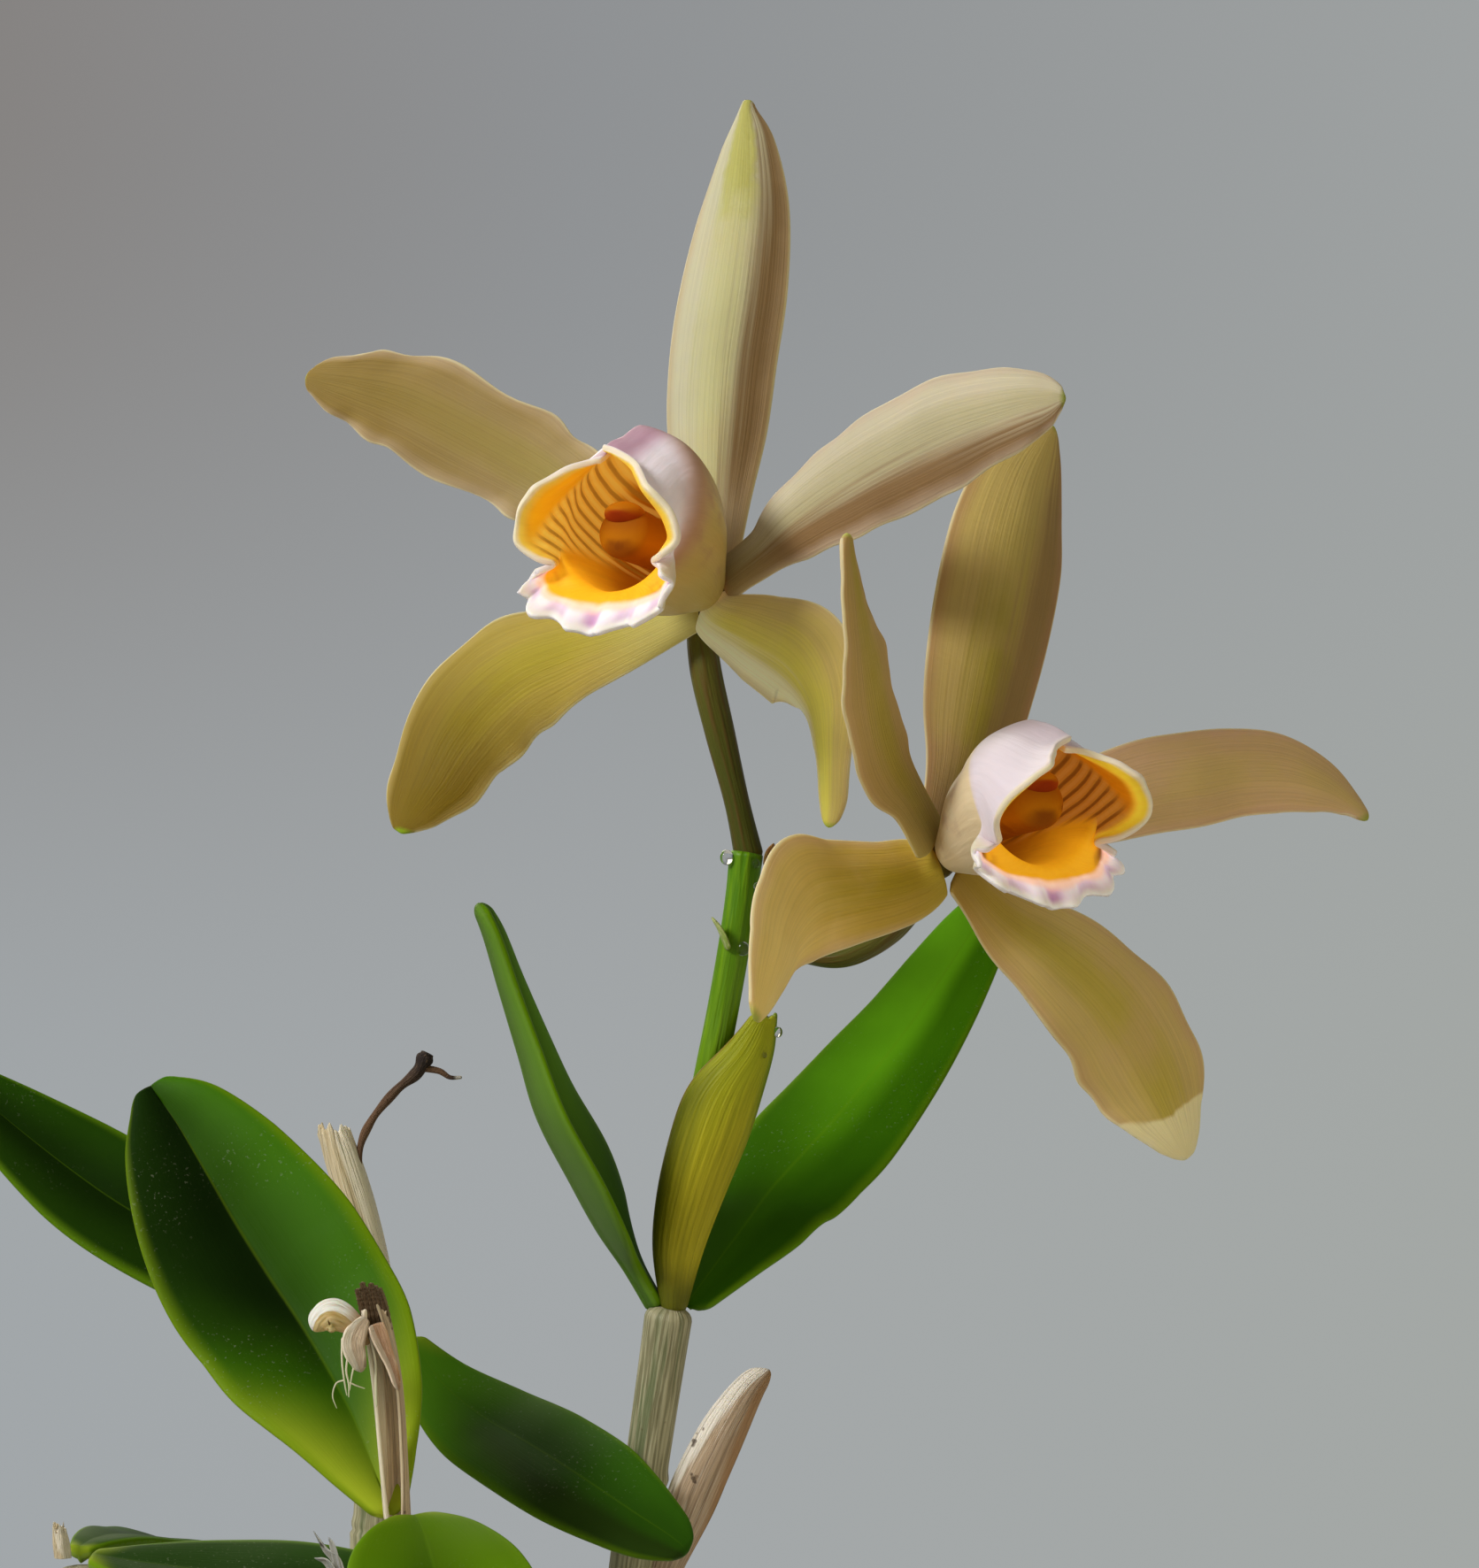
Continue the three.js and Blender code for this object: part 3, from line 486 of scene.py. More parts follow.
# %% Wrapped sheets
def sheet(name, surface, columns, rows, thickness):
    """A sheet on a surface, solidified: its first side, its other side and its rim take finishes in turn."""
    clear_selection()
    bpy.ops.mesh.primitive_grid_add(x_subdivisions=columns, y_subdivisions=rows, size=2)
    piece = bpy.context.object
    piece.name = piece.data.name = name
    x, y, _ = points_of(piece).T
    s, t = x, (y + 1) / 2
    move_points(piece, surface(t, s))
    set_grain(piece, s, t, 0.0)
    solidify = piece.modifiers.new("thickness", "SOLIDIFY")
    solidify.thickness = thickness * MM
    solidify.offset = 0
    solidify.material_offset = 1
    solidify.material_offset_rim = 2
    rounder = piece.modifiers.new("round", "SUBSURF")
    rounder.levels = rounder.render_levels = 1
    for _ in range(3):
        piece.data.materials.append(None)
    apply_all(piece)
    return piece


def wrap_surface(stations, keel, rib=0.0, ribs=0):
    """A sheath round an upright line: x, y, z, half width, half depth and half the wrap in degrees."""
    turn = math.radians(keel)

    def surface(t, s):
        x, y, z, width, depth, opening = curve(stations, t).T
        angle = np.radians(opening) * s
        ribbed = 1 + rib * np.cos(ribs * angle)
        out = width * np.cos(angle) * ribbed
        aside = depth * np.sin(angle) * ribbed
        return np.stack([x + out * math.cos(turn) - aside * math.sin(turn),
                         y + out * math.sin(turn) + aside * math.cos(turn), z], axis=-1)

    return surface


# %% [markdown]
# ## Clay pot
# The plant stands in a plain clay pot. On a wheel a pot grows by drawing the clay up, and here it grows the
# same way: a disc is extruded ring by ring up the outside, over the rim and down the inside to the floor.
# Three drain holes are then cut through the floor. SOFT is how far a corner is rounded, and ARC is how far
# the middle of that round lies inside the corner.

# %% Terracotta
POT = {"height": 90, "foot": 44, "top": 60, "rim": 65, "rim_height": 21, "wall": 5, "floor": 6}
DRAIN = {"radius": 5, "from_middle": 22, "count": 3, "drill": 40}


def terracotta():
    clay = Finish("terracotta", Roughness=0.88, Specular_IOR_Level=0.25)
    cloud = clay.noise(22, 4)
    grit = clay.noise(900, 2)
    colour = clay.mix(cloud.rise(0.35, 0.7), (0.50, 0.20, 0.095), (0.60, 0.27, 0.14))
    height = clay.node("ShaderNodeSeparateXYZ", inputs={0: clay.place}, output=2)
    bloom = (clay.noise(45, 5).rise(0.50, 0.72)) * (height.rise(0.075, 0.02) * 0.6 + 0.12)
    colour = clay.mix(bloom, colour, (0.72, 0.60, 0.50))
    clay.wear("Base Color", clay.shade(colour, grit * 0.25 + 0.87))
    rings = (height * 5200 + cloud * 6).wave()
    clay.bump(grit * 0.5 + rings * 0.12, 0.25)
    return clay


# %% Pot
def draw_up(radius, height):
    """Extrudes the selected disc to a new radius and height."""
    bpy.ops.mesh.extrude_region_move(TRANSFORM_OT_translate={"value": (0, 0, (height - drawn["z"]) * MM)})
    scale = radius / drawn["r"]
    bpy.ops.transform.resize(value=(scale, scale, 1), center_override=(0, 0, height * MM))
    drawn["r"], drawn["z"] = radius, height


SOFT = 1.2
ARC = 0.35
clear_selection()
bpy.ops.mesh.primitive_circle_add(vertices=128, radius=(POT["foot"] - SOFT) * MM, fill_type="NGON")
pot = bpy.context.object
pot.name = pot.data.name = "pot_clay"
drawn = {"r": POT["foot"] - SOFT, "z": 0}
collar = POT["height"] - POT["rim_height"]
inside_top = POT["top"] - POT["wall"]
bpy.ops.object.mode_set(mode="EDIT")
bpy.ops.mesh.select_all(action="SELECT")
for radius, height in [
    (POT["foot"] - 0.4, ARC),
    (POT["foot"], SOFT),
    (POT["foot"] + (POT["top"] - POT["foot"]) * 0.33, collar / 3),
    (POT["foot"] + (POT["top"] - POT["foot"]) * 0.66, collar * 2 / 3),
    (POT["top"] - 0.3, collar - 0.8),
    (POT["top"], collar),
    (POT["rim"] - SOFT, collar),
    (POT["rim"] - ARC, collar + ARC),
    (POT["rim"], collar + SOFT),
    (POT["rim"] - 0.5, POT["height"] - 10),
    (POT["rim"], POT["height"] - SOFT),
    (POT["rim"] - ARC, POT["height"] - ARC),
    (POT["rim"] - SOFT, POT["height"]),
    (inside_top + SOFT, POT["height"]),
    (inside_top + ARC, POT["height"] - ARC),
    (inside_top, POT["height"] - SOFT),
    (POT["foot"] - POT["wall"], POT["floor"]),
    (1, POT["floor"]),
]:
    draw_up(radius, height)
bpy.ops.object.mode_set(mode="OBJECT")
print("pot faces:", len(pot.data.polygons))

# %% [markdown]
# A hole is cut by a boolean with a plain round bar. The bars are only tools, so they are removed afterwards.

# %% Drain holes
for i in range(DRAIN["count"]):
    angle = 2 * math.pi * (i + 0.5) / DRAIN["count"]
    spot = (DRAIN["from_middle"] * MM * math.cos(angle), DRAIN["from_middle"] * MM * math.sin(angle), 0)
    clear_selection()
    bpy.ops.mesh.primitive_cylinder_add(vertices=40, radius=DRAIN["radius"] * MM, depth=DRAIN["drill"] * MM,
                                        location=spot)
    drill = bpy.context.object
    cut = pot.modifiers.new("hole", "BOOLEAN")
    cut.object = drill
    cut.operation = "DIFFERENCE"
    apply_all(pot)
    bpy.data.objects.remove(drill)
select_only(pot)
bpy.ops.object.mode_set(mode="EDIT")
bpy.ops.mesh.select_all(action="SELECT")
bpy.ops.mesh.normals_make_consistent(inside=False)
bpy.ops.object.mode_set(mode="OBJECT")
finished(pot, "clay", terracotta(), node="pot")
bpy.ops.object.shade_smooth_by_angle(angle=math.radians(40))

# %% [markdown]
# ## Bark
# Orchids are potted in chips of fir bark. The bed underneath is one solid, and a loose layer of chips lies
# on it. A few chips are modelled, each a bevelled block pushed out of true, and copied over the bed at
# every turn and tilt. The same random seed gives the same bed each time.

# %% Bark finish
BARK_TOP = 77
BED_RADIUS = 52


def bark_finish():
    bark = Finish("bark", Roughness=0.93, Specular_IOR_Level=0.15)
    layers = bark.noise(150, 6)
    fibres = bark.noise(700, 4)
    colour = bark.mix(layers.rise(0.35, 0.65), (0.050, 0.026, 0.015), (0.20, 0.105, 0.055))
    colour = bark.mix(fibres.rise(0.6, 0.8) * 0.5, colour, (0.30, 0.22, 0.15))
    bark.wear("Base Color", colour)
    bark.bump(layers + fibres * 0.4, 1.2)
    return bark


bark = bark_finish()
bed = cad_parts["bark_bed"]
bed.data.materials.clear()
bed.data.materials.append(bark.material)

# %% Chip shapes
BENT = 0.09
KINDS = 7
dice = random.Random(4)


def chip_shape():
    """A bevelled block with its corners pushed out of true."""
    clear_selection()
    bpy.ops.mesh.primitive_cube_add(size=1)
    made = bpy.context.object
    bevel = made.modifiers.new("soft", "BEVEL")
    bevel.width = 0.14
    bevel.segments = 1
    apply_all(made)
    points = points_of(made)
    bent = [p + np.array([dice.uniform(-BENT, BENT) for _ in range(3)]) for p in points]
    move_points(made, np.array(bent) / MM)
    return made


shapes = [chip_shape() for _ in range(KINDS)]
print("kinds of chips:", len(shapes))

# %% Bark chips
SPACING = 6.6
JITTER = 2
TILT = 0.4
SUNK = 0.8
CHIP_SIDES = ((7, 13), (5, 8), (2.2, 4))
chips = []
for row in range(-9, 10):
    for place in range(-9, 10):
        x = SPACING * (place + 0.5 * (row % 2)) + dice.uniform(-JITTER, JITTER)
        y = SPACING * 0.87 * row + dice.uniform(-JITTER, JITTER)
        size = np.array([dice.uniform(*ends) for ends in CHIP_SIDES])
        turn = [dice.uniform(-TILT, TILT), dice.uniform(-TILT, TILT), dice.uniform(0, 6.3)]
        z = BARK_TOP - SUNK + dice.uniform(-0.8, 1.2)
        shape = dice.choice(shapes)
        if math.hypot(x, y) > BED_RADIUS - 5:
            continue
        chip = shape.copy()
        chip.data = shape.data.copy()
        bpy.context.scene.collection.objects.link(chip)
        chip.scale = size * MM
        chip.rotation_euler = turn
        chip.location = Vector((x, y, z)) * MM
        chips.append(chip)
for shape in shapes:
    bpy.data.objects.remove(shape)
chips = joined("bark_chips", chips)
bpy.ops.object.transform_apply(location=True, rotation=True, scale=True)
finished(chips, "bark", bark)
bpy.ops.object.shade_smooth_by_angle(angle=math.radians(30))

# %% [markdown]
# ## Rhizome and roots
# The canes rise from a creeping stem, the rhizome, ringed by the scars of old scales. Its roots have a
# spongy, whitish skin and a green growing tip, and wander over the bark.


# %% Rhizome and root finishes
def rhizome_finish():
    skin = Finish("rhizome_skin", Roughness=0.7)
    patches = skin.noise(170, 4)
    rings = (skin.along * 160 + patches * 5).wave().rise(0.2, 1)
    colour = skin.mix(patches.rise(0.4, 0.62), (0.17, 0.19, 0.06), (0.30, 0.24, 0.13))
    skin.wear("Base Color", skin.mix(rings * 0.7, colour, (0.13, 0.085, 0.045)))
    skin.bump(rings + patches, 0.4)
    return skin


def root_finish():
    skin = Finish("root_skin", Roughness=0.85)
    patches = skin.noise(240, 4)
    colour = skin.mix(patches.rise(0.35, 0.7), (0.42, 0.43, 0.34), (0.68, 0.68, 0.60))
    skin.wear("Base Color", skin.mix(skin.along.rise(0.90, 0.97), colour, (0.20, 0.36, 0.08)))
    skin.bump(patches + skin.noise(1400, 2) * 0.4, 0.25)
    return skin


# %% Rhizome and roots
def bark_height(x, y):
    """How high the bark lies at a place. It is lumpy in the middle and flat at the pot's wall."""
    lump = 1 + math.sin(x / 7.3 + 1) * math.cos(y / 6.1)
    return BARK_TOP - SUNK * lump * (1 - (x * x + y * y) / BED_RADIUS**2)


def on_bark(rows):
    """Lays rows of x, y and radius on the bark."""
    return [[x, y, bark_height(x, y) + radius + 0.5, radius] for x, y, radius in rows]


RHIZOMES = {
    "rhizome_back": [(-41, 4, 1.8), (-33, 8, 2.2), (-20, 15, 2), (-9, 20.5, 2.3), (2, 17, 2),
                     (12.5, 10.5, 2.2), (20, 6, 1.2)],
    "rhizome_front": [(-28.4, 6.2, 1.8), (-19, -3, 2), (-7.5, -14, 2.3), (1, -21, 1.2)],
}
ROOTS = {
    "root_right": [(20.6, 2.6, 1.2), (26, -4, 1.4), (34, -9, 1.4), (41, -17, 1.2), (42, -24, 0.8)],
    "root_front": [(1.6, -22.9, 1.2), (-4, -31, 1.4), (-1, -38, 1.3), (-7, -45, 0.8)],
    "root_left": [(-37, 2, 1.2), (-39, -6, 1.4), (-35, -16, 1.3), (-38, -26, 0.8)],
    "root_back": [(0, 21.1, 1.2), (7, 29, 1.4), (5, 37, 1.3), (12, 44, 0.8)],
}
rhizome_skin = rhizome_finish()
root_skin = root_finish()
for name, rows in RHIZOMES.items():
    piece = stalk(f"{name}_skin", on_bark(rows), 32, 160, (0.04, 0.06),
                  lambda t: 0.16 * np.abs(np.sin(70 * t)) ** 6)
    finished(piece, "rhizome", rhizome_skin, node=name)
for name, rows in ROOTS.items():
    piece = stalk(f"{name}_skin", on_bark(rows), 24, 120, (0.02, 0.05),
                  lambda t: 0.06 * np.sin(47 * t) + 0.05 * np.sin(21 * t))
    finished(piece, "root", root_skin, node=name)

# %% [markdown]
# ## Canes
# A cane is jointed, and each joint wears a papery sheath that has dried to a silvery skin with grey-green
# streaks. The sheaths overlap like stacked paper cups, so the radius grows a little towards each joint and
# steps back above it.

# %% Cane finish
CANE_FOOT = BARK_TOP + 5


def cane_finish(name, green):
    paper = Finish(name, (0.1, 2, (1.0, 0.8, 0.4)), Roughness=0.55)
    fine = paper.streaks(9, 14, 3, 9)
    broad = paper.streaks(2.2, 4, 3, 2.2)
    colour = paper.mix(fine.rise(0.35, 0.66), (0.21, 0.195, 0.10), (0.47, 0.44, 0.28))
    colour = paper.mix(broad.rise(0.5, 0.68) * green, colour, (0.10, 0.145, 0.05))
    specks = paper.noise(420, 3).rise(0.66, 0.76)
    paper.wear("Base Color", paper.mix(specks * 0.55, colour, (0.16, 0.10, 0.055)))
    paper.bump(fine + specks * 0.3, 0.35)
    return paper


# %% Canes
# Each cane has its foot on the bark, its top, its radius where it is thickest, and the heights of its joints.
CANES = {
    "cane_flowering": ((12, 10.5), (30.8, 1, 228), 3.1, (110, 141, 173, 205)),
    "cane_front": ((-7, -14.5), (-1, -28, 204.6), 3.3, (104, 130, 157, 184)),
    "cane_back": ((-9, 20.6), (-7.2, 24, 221), 3.2, (106, 136, 166, 196)),
    "cane_left": ((-33, 8), (-44.4, 5, 194.6), 3, (102, 126, 151, 175)),
}
SHEATH_LIFT = 0.42
JOINT_RING = {"height": 0.28, "above": 1.1, "width": 0.8}
SAMPLES = 400


def cane_stations(foot, top, thickest):
    """A cane bows a little to the left and is slimmer below. rows are share of the way, radius and bend."""
    rows = [(0, 2.2, 0), (0.2, 2.4, -0.6), (0.5, 2.7, -1), (0.8, thickest * 0.93, -0.5),
            (1, thickest * 0.95, 0)]
    return [[foot[0] + (top[0] - foot[0]) * share + bend, foot[1] + (top[1] - foot[1]) * share,
             CANE_FOOT + (top[2] - CANE_FOOT) * share, radius] for share, radius, bend in rows]


def stacked_sheaths(stations, joints):
    """What the papery sheaths add to a cane's radius between its joints."""
    steps = np.linspace(0, 1, SAMPLES)
    heights = curve(stations, steps)[:, 2]

    def swelling(t):
        z = np.interp(t, steps, heights)
        edges = [CANE_FOOT - 4, *joints, heights[-1] + 6]
        extra = np.zeros_like(t)
        for low, high in zip(edges, edges[1:]):
            inside = (z >= low) & (z < high)
            share = (z - low) / (high - low)
            extra[inside] = (SHEATH_LIFT * (share**2 - 0.35))[inside]
        for joint in joints:
            off = (z - joint - JOINT_RING["above"]) / JOINT_RING["width"]
            extra += JOINT_RING["height"] * np.exp(-(off**2))
        return extra

    return swelling


silver_paper = cane_finish("cane_paper", 0.85)
for name, (foot, top, thickest, joints) in CANES.items():
    stations = cane_stations(foot, top, thickest)
    piece = stalk(f"{name}_paper", stations, 36, 260, (0.006, 0.016), stacked_sheaths(stations, joints))
    finished(piece, "cane", silver_paper, node=name)

# %% [markdown]
# ## Leaves
# The leaves are thick and leathery, folded lengthwise like an open book, and glossy. Their green is painted
# darker along the midrib and lighter towards the edges, as painted shade in the fold, and on some leaves one
# half is painted lit and the other painted in shade. The edge itself is a thin yellow-green line. Fine dust
# lies in dull specks on the older ones.


# %% Leaf finish
LEAF_UNDERSIDE = (0.14, 0.24, 0.06)
DUST = (0.42, 0.45, 0.33)


def leaf_finish(name, left, right, low, edge=(0.13, 0.26, 0.004), foot=(0.30, 0.40, 0.02), reach=0.1,
                low_reach=0.6, split=0.0, painted_fold_shade=0.7, dust=0.0):
    """left, right and low are greens. They meet at split across the blade and at low_reach along it. On some
    leaves left and right are painted light and shade: one half painted lit, the other painted in shade. reach
    is the pale foot's share, and hollow is painted shade: how much darker the middle is than the edges."""
    leaf = Finish(name, (0.15, 2, (0.6, 1.0, 0.15)), Specular_IOR_Level=0.035)
    s, t, side = leaf.across, leaf.along, leaf.third
    off = s.size()
    veins = leaf.streaks(34, 2.5, 3)
    clouds = leaf.noise(70, 3)
    blend = 0.05 + abs(split) * 0.6
    # Painted light and shade: the two halves take their own greens, and on some leaves one is painted lit and
    # the other painted in shade.
    colour = leaf.mix((s + clouds * blend * 2 - blend).rise(split - blend, split + blend), left, right)
    # Painted shade: darker along the midrib and lighter towards the edges, as if the valley of the fold lay
    # in shadow.
    colour = leaf.shade(colour, off.rise(0.1, 0.9) * painted_fold_shade + clouds * 0.5 + (1 - painted_fold_shade * 0.78))
    specks = leaf.noise(2300, 2).rise(0.62, 0.74) * leaf.noise(60, 3).rise(0.45, 0.65)
    colour = leaf.layers(
        colour,
        ((t - off * 0.2 + clouds * 0.15).rise(low_reach, low_reach * 0.3) * 0.9, low),
        (off.rise(0.04, 0.0) * 0.2, edge),
        ((t - off * reach * 0.6 + clouds * 0.06).rise(reach, -reach * 0.4) * 0.9, foot),
        ((off - t * 0.10).rise(0.78, 0.98) * 0.75, edge),
        (side.rise(0.1, -0.1) * 0.35, LEAF_UNDERSIDE),
        (specks * dust, DUST),
    )
    leaf.wear("Base Color", colour)
    leaf.wear("Roughness", specks * 0.3 * dust + clouds * 0.12 + 0.42)
    leaf.bump(veins * 0.5 + leaf.noise(260, 3) * 0.4, 0.06)
    return leaf


# %% Leaves
LEAF_THICKNESS = 1.9


def grow_leaves(leaves):
    """Makes leaves, each from its shape, its greens and its stations of x, y, z, half width and roll."""
    for name, leaf in leaves.items():
        surface = blade_surface(leaf["stations"], **leaf["shape"])
        piece = blade(f"{name}_blade", surface, LEAF_THICKNESS, 0.02, 0.05, 0.5, around=88, lengthwise=120)
        finished(piece, "leaf", leaf_finish(f"{name}_green", **leaf["paint"]), node=name)


# %% Leaves of the flowering cane
grow_leaves({
    "leaf_top_right": {
        "shape": {"face": (-0.35, -0.9, 0.25), "fold": -0.08},
        # Painted light and shade: the upper half (left) is painted bright green as lit, and the lower half
        # (right) dark green as in shade.
        "paint": {"left": (0.135, 0.400, 0.007), "right": (0.050, 0.170, 0.001), "low": (0.023, 0.088, 0.001),
                  "reach": 0.03, "low_reach": 0.95, "split": 0.25, "painted_fold_shade": 0.25, "dust": 0.15},
        "stations": [
            (33, 2.2, 227.4, 2, 0), (37.8, 8, 233.4, 5.2, 0), (41.1, 12, 237.5, 7.4, 0),
            (44.1, 16, 241.2, 8.6, 0), (47.9, 19, 245.2, 9.1, 0), (51.8, 22.4, 249.1, 9.2, 0),
            (57, 27, 255, 8.5, 0), (62.1, 31, 261.2, 7.4, 0), (67.2, 35, 268.4, 6.1, 0),
            (71.5, 38, 274.8, 4.4, 0), (75, 40, 280, 1.6, 0),
        ],
    },
    "leaf_top_left": {
        "shape": {"face": (0.86, 0, 0.5), "fold": 0.36},
        "paint": {"left": (0.070, 0.160, 0.003), "right": (0.070, 0.175, 0.002), "low": (0.034, 0.100, 0.001),
                  "reach": 0.03},
        "stations": [
            (29.3, 1.5, 227.4, 1.4, 4), (26.1, 0.8, 232.8, 2.4, 4), (22.6, -0.6, 238, 8.5, 4),
            (19.3, -1.8, 244, 11, 4), (15.2, -3, 252, 10.2, 4), (12.8, -3.6, 260, 7.4, 4),
            (10.4, -4.2, 268, 5.1, 4), (8.5, -4.8, 274.5, 3.5, 4), (6.9, -5, 278.6, 1.6, 4),
        ],
    },
})

# %% Leaves of the front cane
grow_leaves({
    "leaf_front_tall": {
        "shape": {"face": (0.15, -0.95, 0.1), "fold": 0.5, "cup": -0.16},
        # Painted shade: the left half is painted near black-green as if in shadow, and the right half lighter
        # as lit.
        "paint": {"left": (0.006, 0.020, 0.001), "right": (0.032, 0.108, 0.001), "low": (0.044, 0.140, 0.002),
                  "edge": (0.17, 0.28, 0.004), "foot": (0.44, 0.54, 0.03), "reach": 0.28, "low_reach": 0.5,
                  "dust": 0.2},
        "stations": [
            (-2.2, -27.4, 205.4, 1.8, 0), (-4.6, -24.2, 210.6, 5.6, 0), (-7.6, -20, 216.6, 9.6, 0),
            (-11, -15.4, 221.8, 12.2, 0), (-14.8, -11, 227, 12.9, 0), (-19.1, -7.4, 232.6, 13.2, 0),
            (-23.4, -4, 238.6, 12.2, 0), (-27.4, -1, 244.7, 10.2, 0), (-31.2, 2, 250.3, 7.2, 0),
            (-33.9, 4, 253.7, 3.8, 0), (-35, 5, 255.1, 1.6, 0),
        ],
    },
    "leaf_front_low": {
        "shape": {"face": (0, -0.2, 1), "fold": 0.2},
        "paint": {"left": (0.075, 0.165, 0.001), "right": (0.055, 0.140, 0.001), "low": (0.085, 0.180, 0.001),
                  "reach": 0.2, "dust": 0.1},
        "stations": [
            (0.4, -31.6, 205.3, 1.6, 0), (1.2, -34.4, 205.6, 3.6, 0), (2.4, -39, 204.4, 7, 0),
            (4, -46, 201.6, 10.2, 0), (6, -54, 197, 11.6, 0), (8, -62, 191, 11, 0), (9.6, -69, 184.6, 8.6, 0),
            (10.8, -74, 179, 5, 0), (11.4, -77, 175.4, 1.6, 0),
        ],
    },
})

# %% Leaves of the back cane
grow_leaves({
    "leaf_back_left": {
        "shape": {"face": (0, -0.8, 0.6), "fold": 0.42, "cup": -0.12},
        "paint": {"left": (0.010, 0.032, 0.001), "right": (0.012, 0.042, 0.001), "low": (0.010, 0.034, 0.001),
                  "dust": 0.2},
        "stations": [
            (-10.2, 25.2, 222.4, 1.6, 0), (-17, 26.4, 225.4, 5.4, 0), (-25.5, 28, 229, 8, 0),
            (-33.5, 29.6, 233, 8.9, 0), (-41.7, 31, 237.3, 8.6, 0), (-49.5, 33, 242.4, 7.6, 0),
            (-58.4, 34.5, 249.2, 5.2, 0), (-64, 35.6, 254, 2.9, 0), (-67, 36, 256.8, 0.9, 0),
        ],
    },
    "leaf_back_right": {
        "shape": {"face": (0.1, -0.75, 0.65), "fold": 0.12, "cup": -0.12},
        # Painted light and shade: the left half is painted lighter than the right, and the foot end (low)
        # much lighter, to lift a shade.
        "paint": {"left": (0.026, 0.088, 0.004), "right": (0.018, 0.042, 0.004), "low": (0.085, 0.240, 0.010),
                  "low_reach": 0.5, "split": 0.3, "painted_fold_shade": 0.3, "dust": 0.2},
        "stations": [
            (-3.3, 22.2, 221.2, 1.4, 0), (0.8, 19, 215.6, 4.8, 0), (6.5, 13, 211.8, 7.2, 0),
            (13.1, 4.8, 209.2, 8.2, 0), (19.7, -3.1, 206.3, 8, 0), (25.9, -8.3, 203, 6.2, 0),
            (30.6, -10.6, 200.3, 4, 0), (33, -11.6, 198.5, 1.4, 0),
        ],
    },
})

# %% Leaves of the left cane
grow_leaves({
    "leaf_left_long": {
        "shape": {"face": (0, -0.3, 0.95), "fold": 0.14},
        "paint": {"left": (0.014, 0.050, 0.002), "right": (0.014, 0.050, 0.002), "low": (0.014, 0.050, 0.002),
                  "dust": 0.2},
        "stations": [
            (-42.4, 2.2, 195.7, 1.6, 0), (-36, 1, 194.8, 5, 0), (-27, 0, 193.8, 8, 0),
            (-17, -2, 193.2, 9.2, 0), (-7, -4, 191.6, 8.8, 0), (2, -6, 188.6, 7.2, 0), (9, -7.5, 185, 4.2, 0),
            (13, -8.5, 182, 1.4, 0),
        ],
    },
    "leaf_left_short": {
        "shape": {"face": (0.2, 0.3, 0.9), "fold": 0.16},
        "paint": {"left": (0.020, 0.064, 0.002), "right": (0.020, 0.064, 0.002), "low": (0.020, 0.064, 0.002),
                  "dust": 0.2},
        "stations": [
            (-44.6, 8.6, 195.4, 1.6, 0), (-43, 12, 196, 3.2, 0), (-41, 18, 195.6, 4.8, 0),
            (-38.8, 26, 194, 6.2, 0), (-36, 35, 192, 7.6, 0), (-34, 43, 188, 6, 0),
            (-32.6, 49, 184.6, 1.6, 0),
        ],
    },
})

# %% [markdown]
# ## Sheaths and old husks
# Each pair of leaves holds a flat sheath that guards the flower buds. The live one is olive green and thin
# enough to glow. The old ones have dried to ribbed, fraying paper. They are grids wrapped round the stem,
# with the slit where the real ones open.


# %% Sheath finishes
def green_sheath_finish():
    green = Finish("green_sheath", (0.25, 3, (1.0, 1.0, 0.2)), Roughness=0.5, Specular_IOR_Level=0.2)
    s, t = green.across, green.along
    lines = green.streaks(26, 3, 3)
    left = (s + lines * 0.1).rise(-0.45, -0.85) * t.rise(0.85, 0.6)
    colour = green.layers(
        green.mix(lines.rise(0.25, 0.75), (0.31, 0.28, 0.004), (0.50, 0.43, 0.016)),
        (t.rise(0.30, 0.85) * 0.6, (0.30, 0.38, 0.006)),
        (s.rise(0.1, 0.6) * 0.6, (0.16, 0.26, 0.003)),
        (left * 0.85, (0.085, 0.100, 0.002)),
        (s.size().rise(0.22, 0.04) * t.rise(0.25, 0.75) * 0.8, (0.10, 0.18, 0.003)),
        (t.rise(0.16, 0.03) * 0.85, (0.085, 0.095, 0.004)),
        (s.size().rise(0.93, 0.99) * 0.8, (0.13, 0.05, 0.02)),
    )
    green.wear("Base Color", colour)
    green.bump(lines, 0.25)
    return green


